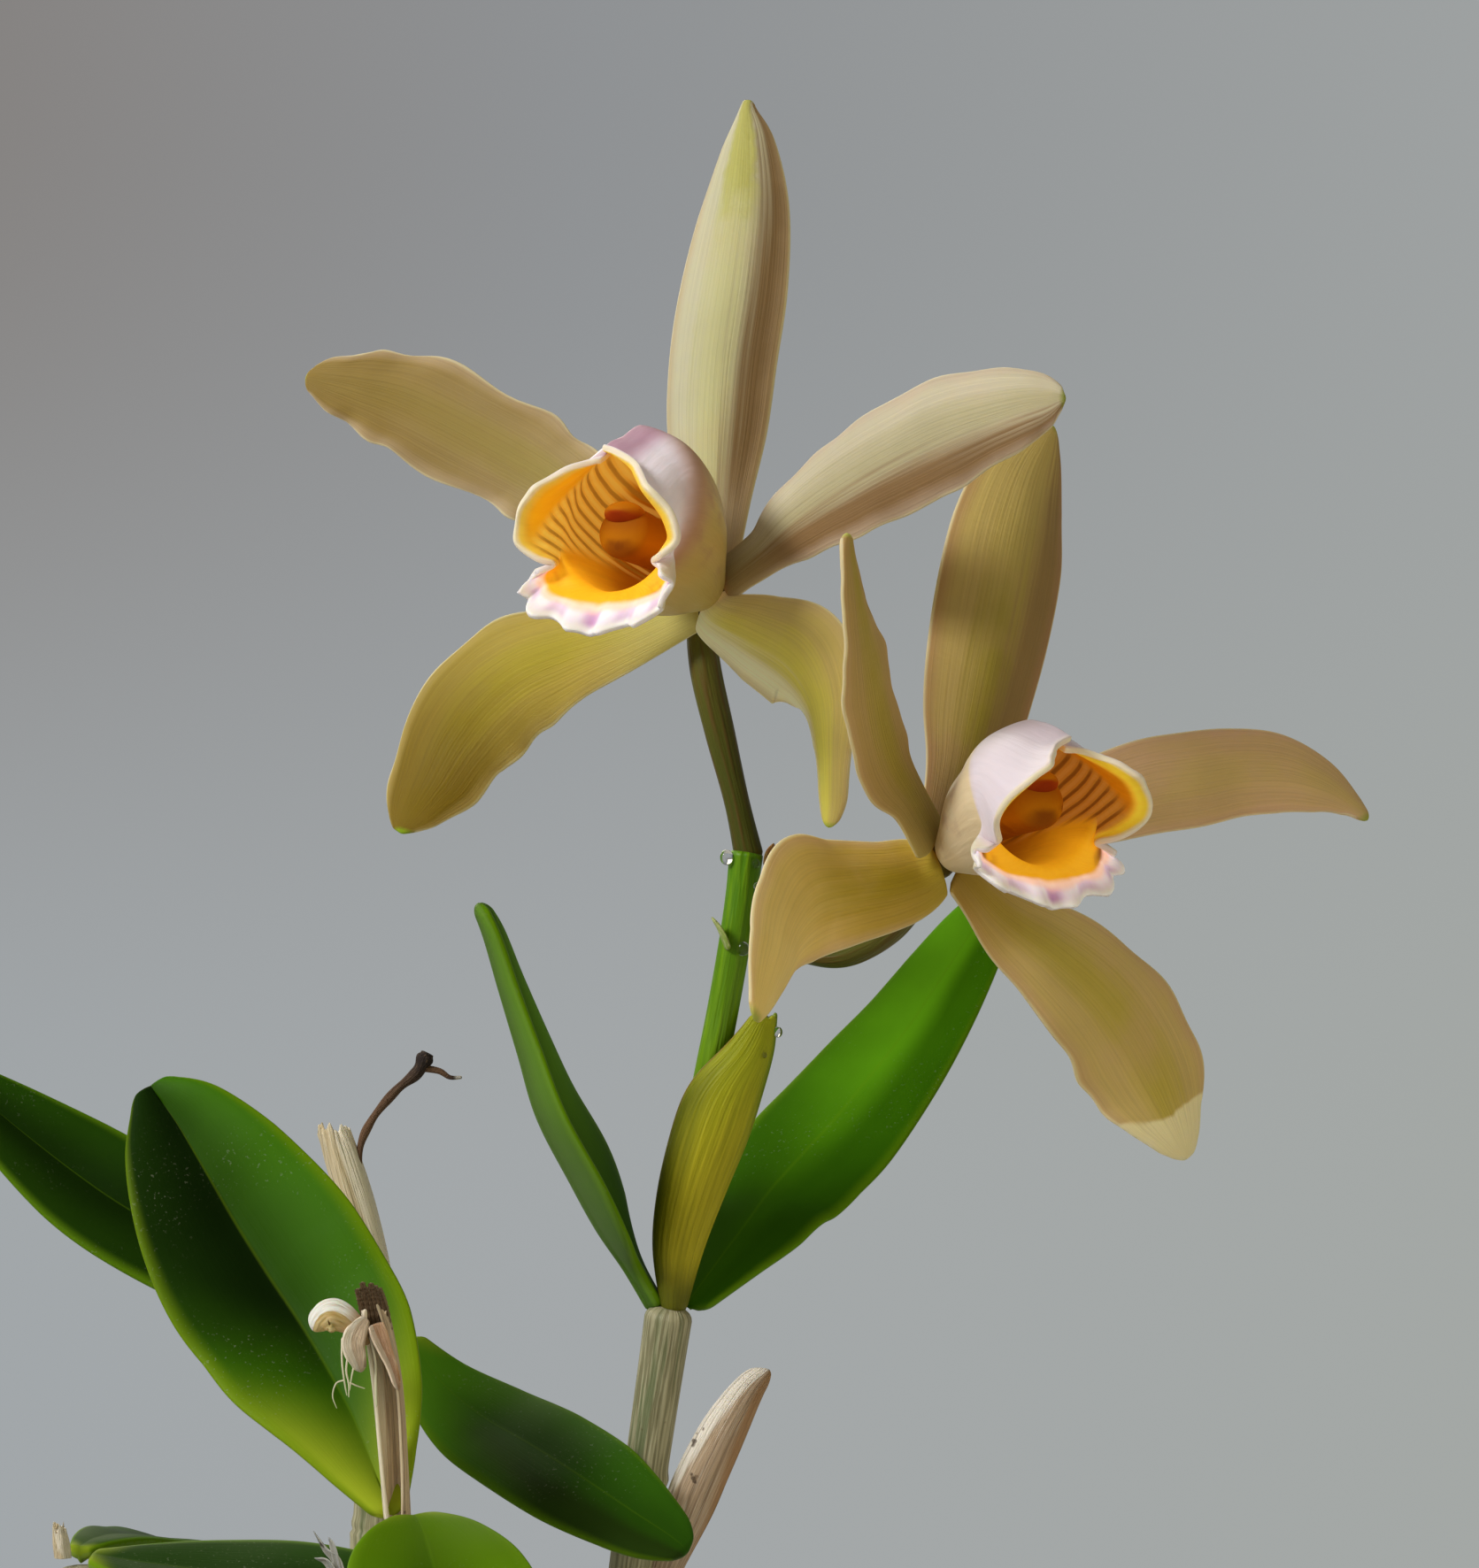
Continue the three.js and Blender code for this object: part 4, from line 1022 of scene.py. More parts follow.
def husk_finish(name, grey, warm, pale, dark_edge=0.7, pale_from=0.72, dim=0.0, slant=0.5, rust=0.0):
    """pale_from is where the bleached side starts, and slant is how much wider it gets towards the tip. dim
    is how much darker the foot is than the tip, and rust is how strong the tip's brown far edge is."""
    husk = Finish(name, (0.1, 2, (1.0, 0.7, 0.4)), Roughness=0.8, Specular_IOR_Level=0.2)
    s, t = husk.across, husk.along
    ribs = husk.streaks(9, 1.6, 4)
    fibres = husk.streaks(34, 5, 3)
    colour = husk.mix(ribs.rise(0.35, 0.6), grey, warm)
    colour = husk.mix(fibres.rise(0.52, 0.72) * 0.75, colour, pale)
    colour = husk.shade(colour, (t + ribs * 0.3).rise(0.2, 0.8) * dim + (1 - dim))
    spots = husk.noise(520, 2).rise(0.68, 0.74)
    husk.wear("Base Color", husk.layers(
        colour,
        ((s + t * slant + ribs * 0.5).rise(pale_from, pale_from + 0.14), pale),
        ((t - s + ribs * 0.3).rise(1.0, 1.4) * rust, (0.44, 0.24, 0.10)),
        ((s + fibres * 0.12).rise(-0.80, -0.93) * dark_edge, (0.05, 0.028, 0.018)),
        (spots * 0.8, (0.06, 0.035, 0.022)),
    ))
    husk.bump(ribs + fibres * 0.35, 0.7)
    return husk


# %% Sheath shapes
TORN_FROM = 0.86
SHEATH_GRID = (48, 42)
LIVE = {"rib": 0.004, "ribs": 9, "depth": 0.35, "teeth": 2.5}
DRY = {"rib": 0.05, "ribs": 5, "depth": 0.9, "teeth": 4}
SHEATHS = {
    "flower_sheath": {
        "keel": -8,
        "thickness": 0.6,
        "stations": [
            (31.2, 1, 227.2, 1.3, 1.6, 168), (31.8, 0.8, 235, 3, 2.9, 168), (33.4, 0.4, 242, 4.1, 3.3, 168),
            (35.6, 0.2, 249, 4.8, 3.5, 166), (37.4, 0, 255, 4.9, 3.6, 152), (39.2, 0, 260, 4.4, 3.4, 114),
            (41.4, 0, 264.4, 2.6, 2.9, 92),
        ],
    },
    "dry_sheath_front": {
        "keel": 84,
        "thickness": 0.45,
        "stations": [
            (-1.5, -28.5, 205.2, 1.4, 1.4, 150), (-2, -28.5, 212.4, 2, 1.5, 125),
            (-2.7, -28.5, 221, 2.4, 1.6, 116), (-3.7, -28.4, 227.6, 2.1, 1.5, 130),
            (-4.3, -28.4, 230.6, 1.7, 1.4, 155),
        ],
    },
    "dry_sheath_back": {
        "keel": 248,
        "thickness": 0.5,
        "stations": [
            (-7.2, 24.2, 221.9, 1.5, 1.4, 160), (-8, 24.2, 229, 2.1, 1.9, 150),
            (-10, 24.2, 237, 2.4, 2.2, 140), (-12, 24.2, 244, 2.2, 2.2, 120),
            (-13.4, 24.2, 248.6, 1.6, 2, 100),
        ],
    },
    "dry_sheath_left": {
        "keel": 200,
        "thickness": 0.4,
        "stations": [
            (-46, 4.6, 195.5, 0.9, 0.8, 150), (-46.2, 4.4, 197.4, 0.9, 0.8, 150),
            (-46.4, 4.2, 199.4, 0.7, 0.6, 140),
        ],
    },
}


# %% Sheaths
def ragged(surface, depth, teeth):
    """Pulls the last stretch of a sheath up and down, so that it ends in torn points."""

    def torn(t, s):
        late = np.clip((t - TORN_FROM) / (1 - TORN_FROM), 0, 1)
        points = surface(t, s)
        tooth = 0.6 * np.sin(teeth * s * 3 + 1) + 0.4 * np.sin(teeth * s * 7.3)
        points[:, 2] += depth * late * tooth
        return points

    return torn


green_sheath = green_sheath_finish()
dry_paper = husk_finish("dry_paper", (0.50, 0.38, 0.26), (0.74, 0.56, 0.38), (0.92, 0.80, 0.62), 0.4)
pale_paper = husk_finish("pale_paper", (0.56, 0.45, 0.27), (0.80, 0.66, 0.44), (0.92, 0.82, 0.64), 0.3)
# The inside of the front sheath, groove, is painted paler than its outside: painted light in its dim recess.
groove = husk_finish("sheath_groove", (0.56, 0.44, 0.31), (0.88, 0.71, 0.51), (0.96, 0.86, 0.69), 0.5)
SHEATH_LAYERS = {
    "flower_sheath": [green_sheath, green_sheath, green_sheath],
    "dry_sheath_front": [dry_paper, groove, pale_paper],
    "dry_sheath_back": [pale_paper, pale_paper, pale_paper],
    "dry_sheath_left": [pale_paper, pale_paper, pale_paper],
}
for name, sheath in SHEATHS.items():
    state, slot = (LIVE, "green_sheath") if name == "flower_sheath" else (DRY, "husk")
    surface = wrap_surface(sheath["stations"], sheath["keel"], state["rib"], state["ribs"])
    surface = ragged(surface, state["depth"], state["teeth"])
    piece = sheet(f"{name}_skin", surface, *SHEATH_GRID, sheath["thickness"])
    finished(piece, slot, *SHEATH_LAYERS[name], node=name)

# %% [markdown]
# ## Frayed husks
# The front sheath has frayed more than the others: a flap has curled away from it, shreds and a tongue of
# paper hang over its mouth, and another husk peels off the flowering cane. Each is a blade like a small leaf,
# only thinner and more cupped.


# %% Husk finishes
def flap_finish():
    """The outside of the flap has bleached white, and its inside is still straw brown."""
    flap = Finish("bleached_flap", Roughness=0.8, Specular_IOR_Level=0.2, Subsurface_Weight=0.2,
                  Subsurface_Scale=0.002)
    s, t = flap.across, flap.along
    ribs = flap.streaks(6, 3, 4)
    white = flap.mix(ribs.rise(0.4, 0.7), (0.88, 0.86, 0.80), (0.66, 0.60, 0.50))
    straw = flap.mix(ribs.rise(0.35, 0.65), (0.46, 0.33, 0.11), (0.62, 0.48, 0.24))
    colour = flap.mix((s + ribs * 0.4).rise(0.22, 0.16), white, straw)
    colour = flap.mix(t.rise(0.42, 0.2), colour, (0.48, 0.32, 0.17))
    flap.wear("Base Color", flap.mix(s.size().rise(0.93, 0.99) * 0.5, colour, (0.22, 0.15, 0.09)))
    flap.bump(ribs, 0.4)
    return flap


white_flap = flap_finish()
tan_husk = husk_finish("tan_husk", (0.38, 0.27, 0.18), (0.66, 0.50, 0.35), (0.96, 0.88, 0.78), dark_edge=0.5,
                       pale_from=1.45, dim=0.2, slant=1.2, rust=0.75)
peach_paper = husk_finish("peach_paper", (0.50, 0.25, 0.12), (0.78, 0.48, 0.30), (0.92, 0.72, 0.54), 0)

# %% Flaps
FLAP_THICKNESS = 0.7
FLAPS = {
    "curled_husk": {
        "finish": white_flap,
        "shape": {"face": (-0.1, -0.8, 0.5), "cup": -0.5, "ruffle": 0.2, "waves": 2},
        "stations": [(-4.8, -29.8, 226.4, 0.7, 0), (-6.2, -30.4, 228.5, 1.3, 0), (-7.9, -30.8, 230, 1.9, 0),
                     (-9.5, -30.8, 230.4, 2.2, 0), (-10.8, -30.4, 229.4, 2, 0), (-11.4, -29.8, 228, 0.8, 0)],
    },
    "cane_husk": {
        "finish": tan_husk,
        "shape": {"face": (-0.2, 0.95, 0.2), "cup": 0.45, "ruffle": 0.25, "waves": 3},
        "stations": [(28.6, 1.7, 189.5, 1.2, 0), (30.9, 1.6, 195.6, 2.3, 0), (33.4, 1.2, 202, 3.2, 0),
                     (35.4, 0.8, 206.8, 3.4, 0), (38.2, 0.6, 212.6, 2.9, 0), (41, 0.4, 217.4, 2.1, 0),
                     (43.3, 0.4, 219.8, 1.1, 0)],
    },
    "husk_shreds": {
        "finish": dry_paper,
        "shape": {"face": (-0.2, -1, 0), "cup": 0.4, "ruffle": 0.4, "waves": 3},
        "stations": [(-5, -30.2, 229.6, 0.5, 0), (-6, -30.8, 228.2, 1.2, 0), (-6.4, -31, 226.6, 1.4, 0),
                     (-6, -31, 224.8, 1.1, 0), (-5.6, -30.8, 223.2, 0.5, 0)],
    },
    "sheath_tongue": {
        "finish": peach_paper,
        "shape": {"face": (0.1, -1, 0.1), "cup": 0.5},
        "stations": [(-4, -30.5, 229, 0.9, 0), (-3.5, -30.6, 227.6, 1, 0), (-2.8, -30.6, 225.8, 0.8, 0),
                     (-2, -30.5, 223.8, 0.6, 0), (-1.2, -30.4, 221, 0.4, 0)],
    },
}
for name, flap in FLAPS.items():
    surface = blade_surface(flap["stations"], **flap["shape"])
    piece = blade(f"{name}_flap", surface, FLAP_THICKNESS, foot=0.05, tip=0.12, around=64, lengthwise=70)
    finished(piece, "husk", flap["finish"], node=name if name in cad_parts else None)

# %% [markdown]
# Finer bits follow. White scraps stand at the foot of the left leaf, fine threads hang from the curled flap,
# and a brown stub of fibres fills the mouth of the front sheath. Threads and fibres are thin stalks.

# %% Dry bits
DRY_BITS = [
    [(-9.4, -6, 190.8, 0.5, 0), (-10.4, -6, 196.4, 0.6, 20), (-11.9, -6, 198.2, 0.4, 50),
     (-13.5, -6.2, 200.6, 0.2, 80)],
    [(-9.5, -6.4, 191.4, 0.4, 0), (-11.4, -6.6, 196.4, 0.5, 40), (-13.3, -6.8, 197.3, 0.2, 60)],
    [(-9.8, -6, 192.6, 0.3, 0), (-10.9, -6.2, 198.2, 0.4, 30), (-11.6, -6.2, 199.8, 0.15, 60)],
]
white_paper = husk_finish("white_paper", (0.70, 0.68, 0.60), (0.88, 0.86, 0.80), (0.95, 0.94, 0.90), 0)
bits = []
for number, rows in enumerate(DRY_BITS):
    surface = blade_surface(rows, (0.2, -1, 0.3), cup=0.5)
    bits.append(blade(f"dry_bit_{number}", surface, 0.3, foot=0.1, tip=0.4, around=20, lengthwise=30))
finished(joined("dry_bits", bits), "husk", white_paper)

# %% Threads
THREADS = [
    [(-7.9, -30.8, 227.4, 0.14), (-7.9, -31, 224.5, 0.12), (-7.6, -31, 222, 0.1), (-7.3, -31, 220.4, 0.06)],
    [(-7, -31, 226.2, 0.13), (-7.4, -31, 223.6, 0.12), (-7.1, -31, 221.8, 0.1), (-7.1, -31, 220.2, 0.06)],
    [(-6.2, -31, 225, 0.12), (-6.7, -31, 223, 0.1), (-7, -31, 221, 0.06)],
    [(-7.6, -31, 222.3, 0.1), (-8.6, -31.2, 221.9, 0.09), (-9, -31.2, 220.4, 0.08),
     (-8.5, -31.2, 218.9, 0.05)],
    [(-7, -31, 222, 0.1), (-6.2, -30.8, 221.6, 0.09), (-5.2, -30.4, 221.2, 0.07)],
    [(-4.6, -30.3, 227.6, 0.2), (-4, -30.6, 224.6, 0.16), (-3.9, -30.6, 221.6, 0.14),
     (-3.8, -30.5, 219, 0.1)],
]
pale_thread = Finish("pale_thread", Roughness=0.7)
pale_thread.wear("Base Color", pale_thread.mix(pale_thread.along, (0.80, 0.72, 0.56), (0.60, 0.62, 0.40)))
threads = [stalk(f"thread_{i}", rows, 8, 40) for i, rows in enumerate(THREADS)]
finished(joined("husk_threads", threads), "husk", pale_thread)

# %% Stub of fibres
STUB = [(-6.3, -0.4), (-5.7, 0.4), (-5.2, -0.2), (-4.7, 0.3), (-4.2, 0), (-3.7, -0.3)]
brown_fibre = husk_finish("brown_fibre", (0.07, 0.04, 0.02), (0.20, 0.12, 0.06), (0.36, 0.26, 0.15))
fibres = []
for i, (x, longer) in enumerate(STUB):
    rows = [(x + 1.4, -28.4, 227, 0.45), (x + 0.6, -28.5, 231, 0.5), (x, -28.6, 233.4 + longer, 0.35)]
    fibres.append(stalk(f"stub_{i}", rows, 10, 30, (0.05, 0.05), lambda t: 0.06 * np.sin(60 * t)))
finished(joined("sheath_stub", fibres), "husk", brown_fibre)

# %% [markdown]
# An old flower stem still stands behind the back leaves. It has dried to a thin crooked twig, almost black
# at its end, where a side bit with a pale broken tip is left of the last flower's stalk.

# %% Dead flower stem
DEAD_STEM = [
    (-7.2, 24.1, 221.8, 0.5), (-8.2, 24, 231, 0.5), (-10, 23.6, 240, 0.5), (-10, 23.4, 245.6, 0.5),
    (-8.4, 23.4, 249.6, 0.55), (-5.3, 23.4, 253.4, 0.6), (-2.6, 23.4, 255.7, 0.8), (-1.5, 23.4, 257.6, 1.1),
    (-1.1, 23.4, 258.4, 0.8),
]
SIDE_BIT = [(-1.8, 23.4, 256.4, 0.5), (0.4, 23.2, 256, 0.42), (1.8, 23, 255.2, 0.3), (3.4, 22.9, 255.2, 0.22)]


def dead_stem_finish():
    dry = Finish("dead_stem_skin", Roughness=0.8, Specular_IOR_Level=0.3)
    lines = dry.streaks(4, 12, 4, 4)
    colour = dry.mix(dry.along.rise(0.45, 0.85), (0.16, 0.085, 0.045), (0.028, 0.018, 0.016))
    colour = dry.mix(lines.rise(0.5, 0.75) * 0.5, colour, (0.26, 0.17, 0.10))
    dry.wear("Base Color", dry.mix(dry.measure((1, 0, 0)).rise(2.2, 2.9), colour, (0.68, 0.64, 0.56)))
    dry.bump(lines + dry.noise(900, 3) * 0.5, 0.35)
    return dry


dead_skin = dead_stem_finish()
stem = stalk("dead_stem_line", DEAD_STEM, 20, 140, (0.01, 0.02), lambda t: 0.07 * np.sin(45 * t))
side_bit = stalk("dead_stem_side", SIDE_BIT, 14, 40)
finished(joined("dead_flower_stem_skin", [stem, side_bit]), "dead_stem", dead_skin, node="dead_flower_stem")

# %% [markdown]
# ## Flower stem
# The stem is smooth and deep green up to where the flowers' own stalks begin. Those stalks are darker,
# olive, and a little grooved. Two tiny bracts sit at their feet, and clear drops of nectar hang there.

# %% Stem finishes
def stem_finish(name, low, high, streak):
    skin = Finish(name, (0.1, 2, (0.8, 1.0, 0.2)), Roughness=0.42, Specular_IOR_Level=0.22)
    lines = skin.streaks(3.2, 5, 3, 3.2)
    colour = skin.mix(skin.along.rise(0.0, 1.0), low, high)
    skin.wear("Base Color", skin.mix(lines.rise(0.42, 0.72) * 0.6, colour, streak))
    skin.bump(lines, 0.3)
    return skin


# %% Where the flowers face
def compass(centre, looks):
    """The four directions of a flower: its middle, ahead, up and to the right of ahead."""
    ahead = unit(np.asarray(looks, float))
    up = unit(np.array([0, 0, 1.0]) - ahead * ahead[2])
    return np.asarray(centre, float), ahead, up, np.cross(up, ahead)


CENTRES = {1: ((35.5, -3, 317.8), (-0.53, -0.82, 0.2)), 2: ((64.8, -20, 285), (0.62, -0.75, 0.2))}
SEAT = 1.15


def behind(number, back, radius):
    """A station of a flower's stalk, straight behind the flower's middle."""
    middle, ahead, _, _ = compass(*CENTRES[number])
    return (*(middle - ahead * back), radius)


# %% Stem and stalks
STEM = [
    (31.2, 1, 228.4, 0.8), (32.2, 0.8, 240, 1.8), (34.4, 0.3, 250, 2), (36, 0, 258, 2), (37.4, 0, 265, 2),
    (38.8, 0, 273, 2), (39.8, 0, 280, 2), (40.4, 0, 285.2, 2.2),
]
FLOWER_STALKS = {
    "flower_stalk_1": [(40.9, 0, 283.4, 1.9), (39.2, 0.4, 291, 1.6), (37, 1.2, 300, 1.9), (35.2, 2, 308, 2),
                       (34.8, 2.4, 314, 1.8), behind(1, 3, 2.2), behind(1, SEAT, 3)],
    "flower_stalk_2": [(42.4, -1, 275.4, 1.3), (46.6, -3, 272.9, 1.5), (52.4, -6.6, 272.4, 1.8),
                       (58, -11, 275.6, 1.9), (61.6, -15, 280.4, 1.8), behind(2, 3, 2.2), behind(2, SEAT, 3)],
}
green_skin = stem_finish("stem_skin", (0.16, 0.29, 0.002), (0.08, 0.22, 0.002), (0.20, 0.38, 0.004))
olive_skin = stem_finish("flower_stalk_skin", (0.060, 0.070, 0.005), (0.15, 0.13, 0.02), (0.12, 0.055, 0.012))
finished(stalk("flower_stem_skin", STEM, 32, 120), "stem", green_skin, node="flower_stem")
for name, rows in FLOWER_STALKS.items():
    piece = stalk(f"{name}_skin", rows, 30, 120, (0.03, 0.02))
    finished(piece, "pedicel", olive_skin, node=name)

# %% Bracts
BRACTS = {
    "bract_upper": ((-1, 0.4, 0.6), [(43, -0.5, 283, 0.9, 0), (43.4, -0.6, 284.6, 1.1, 0),
                                     (43.8, -0.7, 286, 0.4, 0)]),
    "bract_lower": ((1, 0.2, 0.6), [(38, -2, 272.6, 1, 0), (37.4, -2.3, 274.2, 1.1, 0),
                                    (36.8, -2.6, 275.6, 0.7, 0), (36, -2.8, 276.8, 0.2, 0)]),
}
BRACT_COLOURS = {
    "bract_upper": ((0.20, 0.10, 0.03), (0.34, 0.16, 0.05), (0.30, 0.20, 0.08)),
    "bract_lower": ((0.22, 0.32, 0.04), (0.48, 0.55, 0.20), (0.60, 0.64, 0.34)),
}
for name, (face, rows) in BRACTS.items():
    surface = blade_surface(rows, face, cup=0.3)
    piece = blade(f"{name}_scale", surface, 0.5, foot=0.1, tip=0.3, around=24, lengthwise=24)
    finished(piece, "green_sheath", stem_finish(f"{name}_skin", *BRACT_COLOURS[name]), node=name)

# %% Nectar
DROPS = [
    (37.9, -1.2, 284.2, 0.85), (41.5, -2.1, 283.4, 0.55), (41.65, -1.55, 280.6, 0.4),
    (39.9, -2.4, 272.8, 0.8), (44.3, -1, 262.3, 0.6), (42.6, -2.9, 259.5, 0.35), (43, -1.2, 259.3, 0.35),
    (42.1, -1.9, 258.1, 0.3), (41.8, -1.9, 256.7, 0.3),
]
SAG = 1.15
drops = []
for x, y, z, radius in DROPS:
    clear_selection()
    place = Vector((x, y, z)) * MM
    bpy.ops.mesh.primitive_uv_sphere_add(segments=24, ring_count=16, radius=radius * MM, location=place)
    bpy.context.object.scale = (1, 1, SAG)
    bpy.ops.object.transform_apply(location=True, rotation=True, scale=True)
    drops.append(bpy.context.object)
nectar = Finish("nectar", Roughness=0.03, IOR=1.4, Transmission_Weight=1.0)
finished(joined("nectar_drops", drops), "stem", nectar)

# %% [markdown]
# ## Tepals
# Three sepals and two petals look almost alike, so a gardener calls them all tepals. They are waxy, olive
# tan, creamier along the middle and pinkish brown along the wavy edge, with fine veins from foot to tip.
# Each has its own colours, which also hold painted light and shade: tepals that face the window are painted
# paler, those in shade darker and browner.


# %% Tepal finish
def tepal_finish(name, heart, body, margin, foot, far=None, painted_side_light=None, tip=(0.32, 0.38, 0.06), flush=0.3,
                 sunlit_tip=None, warty=False, glow=0.0):
    """far tints the outer half. shaded is painted light and shade on one side of the midrib: +1 or -1, its
    colour and its start. withered is a pale tip of painted sunlight: where it starts and its colour. flush is
    how strong the margin's colour is, and glow is the strength of a painted glow."""
    # The emission, at the strength glow, is a painted glow: the tepal gives off its own colour as if lit.
    tissue = Finish(name, (0.3, 3, (1.0, 0.75, 0.3)), Roughness=0.6, Specular_IOR_Level=0.14,
                    Emission_Strength=glow)
    s, t = tissue.across, tissue.along
    off = s.size()
    veins = tissue.streaks(30, 2.2, 3)
    broad = tissue.streaks(7, 1.6, 2)
    clouds = tissue.noise(85, 3)
    colour = tissue.mix((off + broad * 0.5 - 0.25).rise(0.08, 0.6), heart, body)
    colour = tissue.mix(clouds.rise(0.48, 0.72) * flush, colour, margin)
    if far:
        colour = tissue.mix((t + clouds * 0.2 + broad * 0.2).rise(0.45, 0.95) * 0.9, colour, far)
    # Painted light and shade: one side of the midrib takes a darker tint where it turns away from the light,
    # or a paler one where it faces it.
    if painted_side_light:
        side, tint, start = painted_side_light
        side_light_mask = (s * side + broad * 0.9 - t * 0.45).rise(start, start + 0.58)
        colour = tissue.mix(side_light_mask * 0.95, colour, tint)
    colour = tissue.mix((off + clouds * 0.2).rise(0.80, 1.08) * 0.7, colour, margin)
    colour = tissue.mix((t + clouds * 0.1).rise(0.30, 0.06) * 0.8, colour, foot)
    rough = tissue.noise(300, 3)
    if warty:
        patch = (off + rough * 0.5).rise(0.75, 0.5) * (t + rough * 0.15).rise(0.62, 0.76)
        colour = tissue.mix(patch * 0.8, colour, (0.46, 0.44, 0.10))
        rough = rough * (patch * 3 + 0.25)
    colour = tissue.mix(t.rise(0.955, 1.0) * 0.9, colour, tip)
    # Painted light: a pale patch of sunlight on the tip, with a soft edge; dry is its colour.
    if sunlit_tip:
        start, dry = sunlit_tip
        colour = tissue.mix((t + clouds * 0.22 + off * 0.07).rise(start, start + 0.02) * 0.85, colour, dry)
    # Painted highlight: a thin pale line along the edge.
    colour = tissue.mix(off.rise(0.94, 0.985) * 0.5, colour, (0.84, 0.75, 0.50))
    colour = tissue.shade(colour, veins * 0.4 + clouds * 0.3 + 0.65)
    tissue.wear_with_glow(colour)
    tissue.bump(veins * 0.8 + rough, 0.12)
    return tissue


# %% Tepals
TEPAL_THICKNESS = 1.1
TEPAL_FOOT = {"circle": 2.2, "half": 3.2}


def open_flower(number, tepals):
    """Sets tepals round a flower's middle. clock is the angle at which each one leaves it."""
    centre, looks = CENTRES[number]
    middle, _, up, right = compass(centre, looks)
    for name, tepal in tepals.items():
        clock = math.radians(tepal["clock"])
        foot = middle + TEPAL_FOOT["circle"] * (right * math.cos(clock) + up * math.sin(clock))
        stations = [(*foot, TEPAL_FOOT["half"], tepal["stations"][0][4] / 2), *tepal["stations"]]
        surface = blade_surface(stations, looks, **tepal["shape"])
        piece = blade(f"{name}_tissue", surface, TEPAL_THICKNESS, foot=0.02, tip=0.05, keel=0.35)
        finished(piece, "tepal", tepal_finish(f"{name}_paint", **tepal["paint"]), node=name)


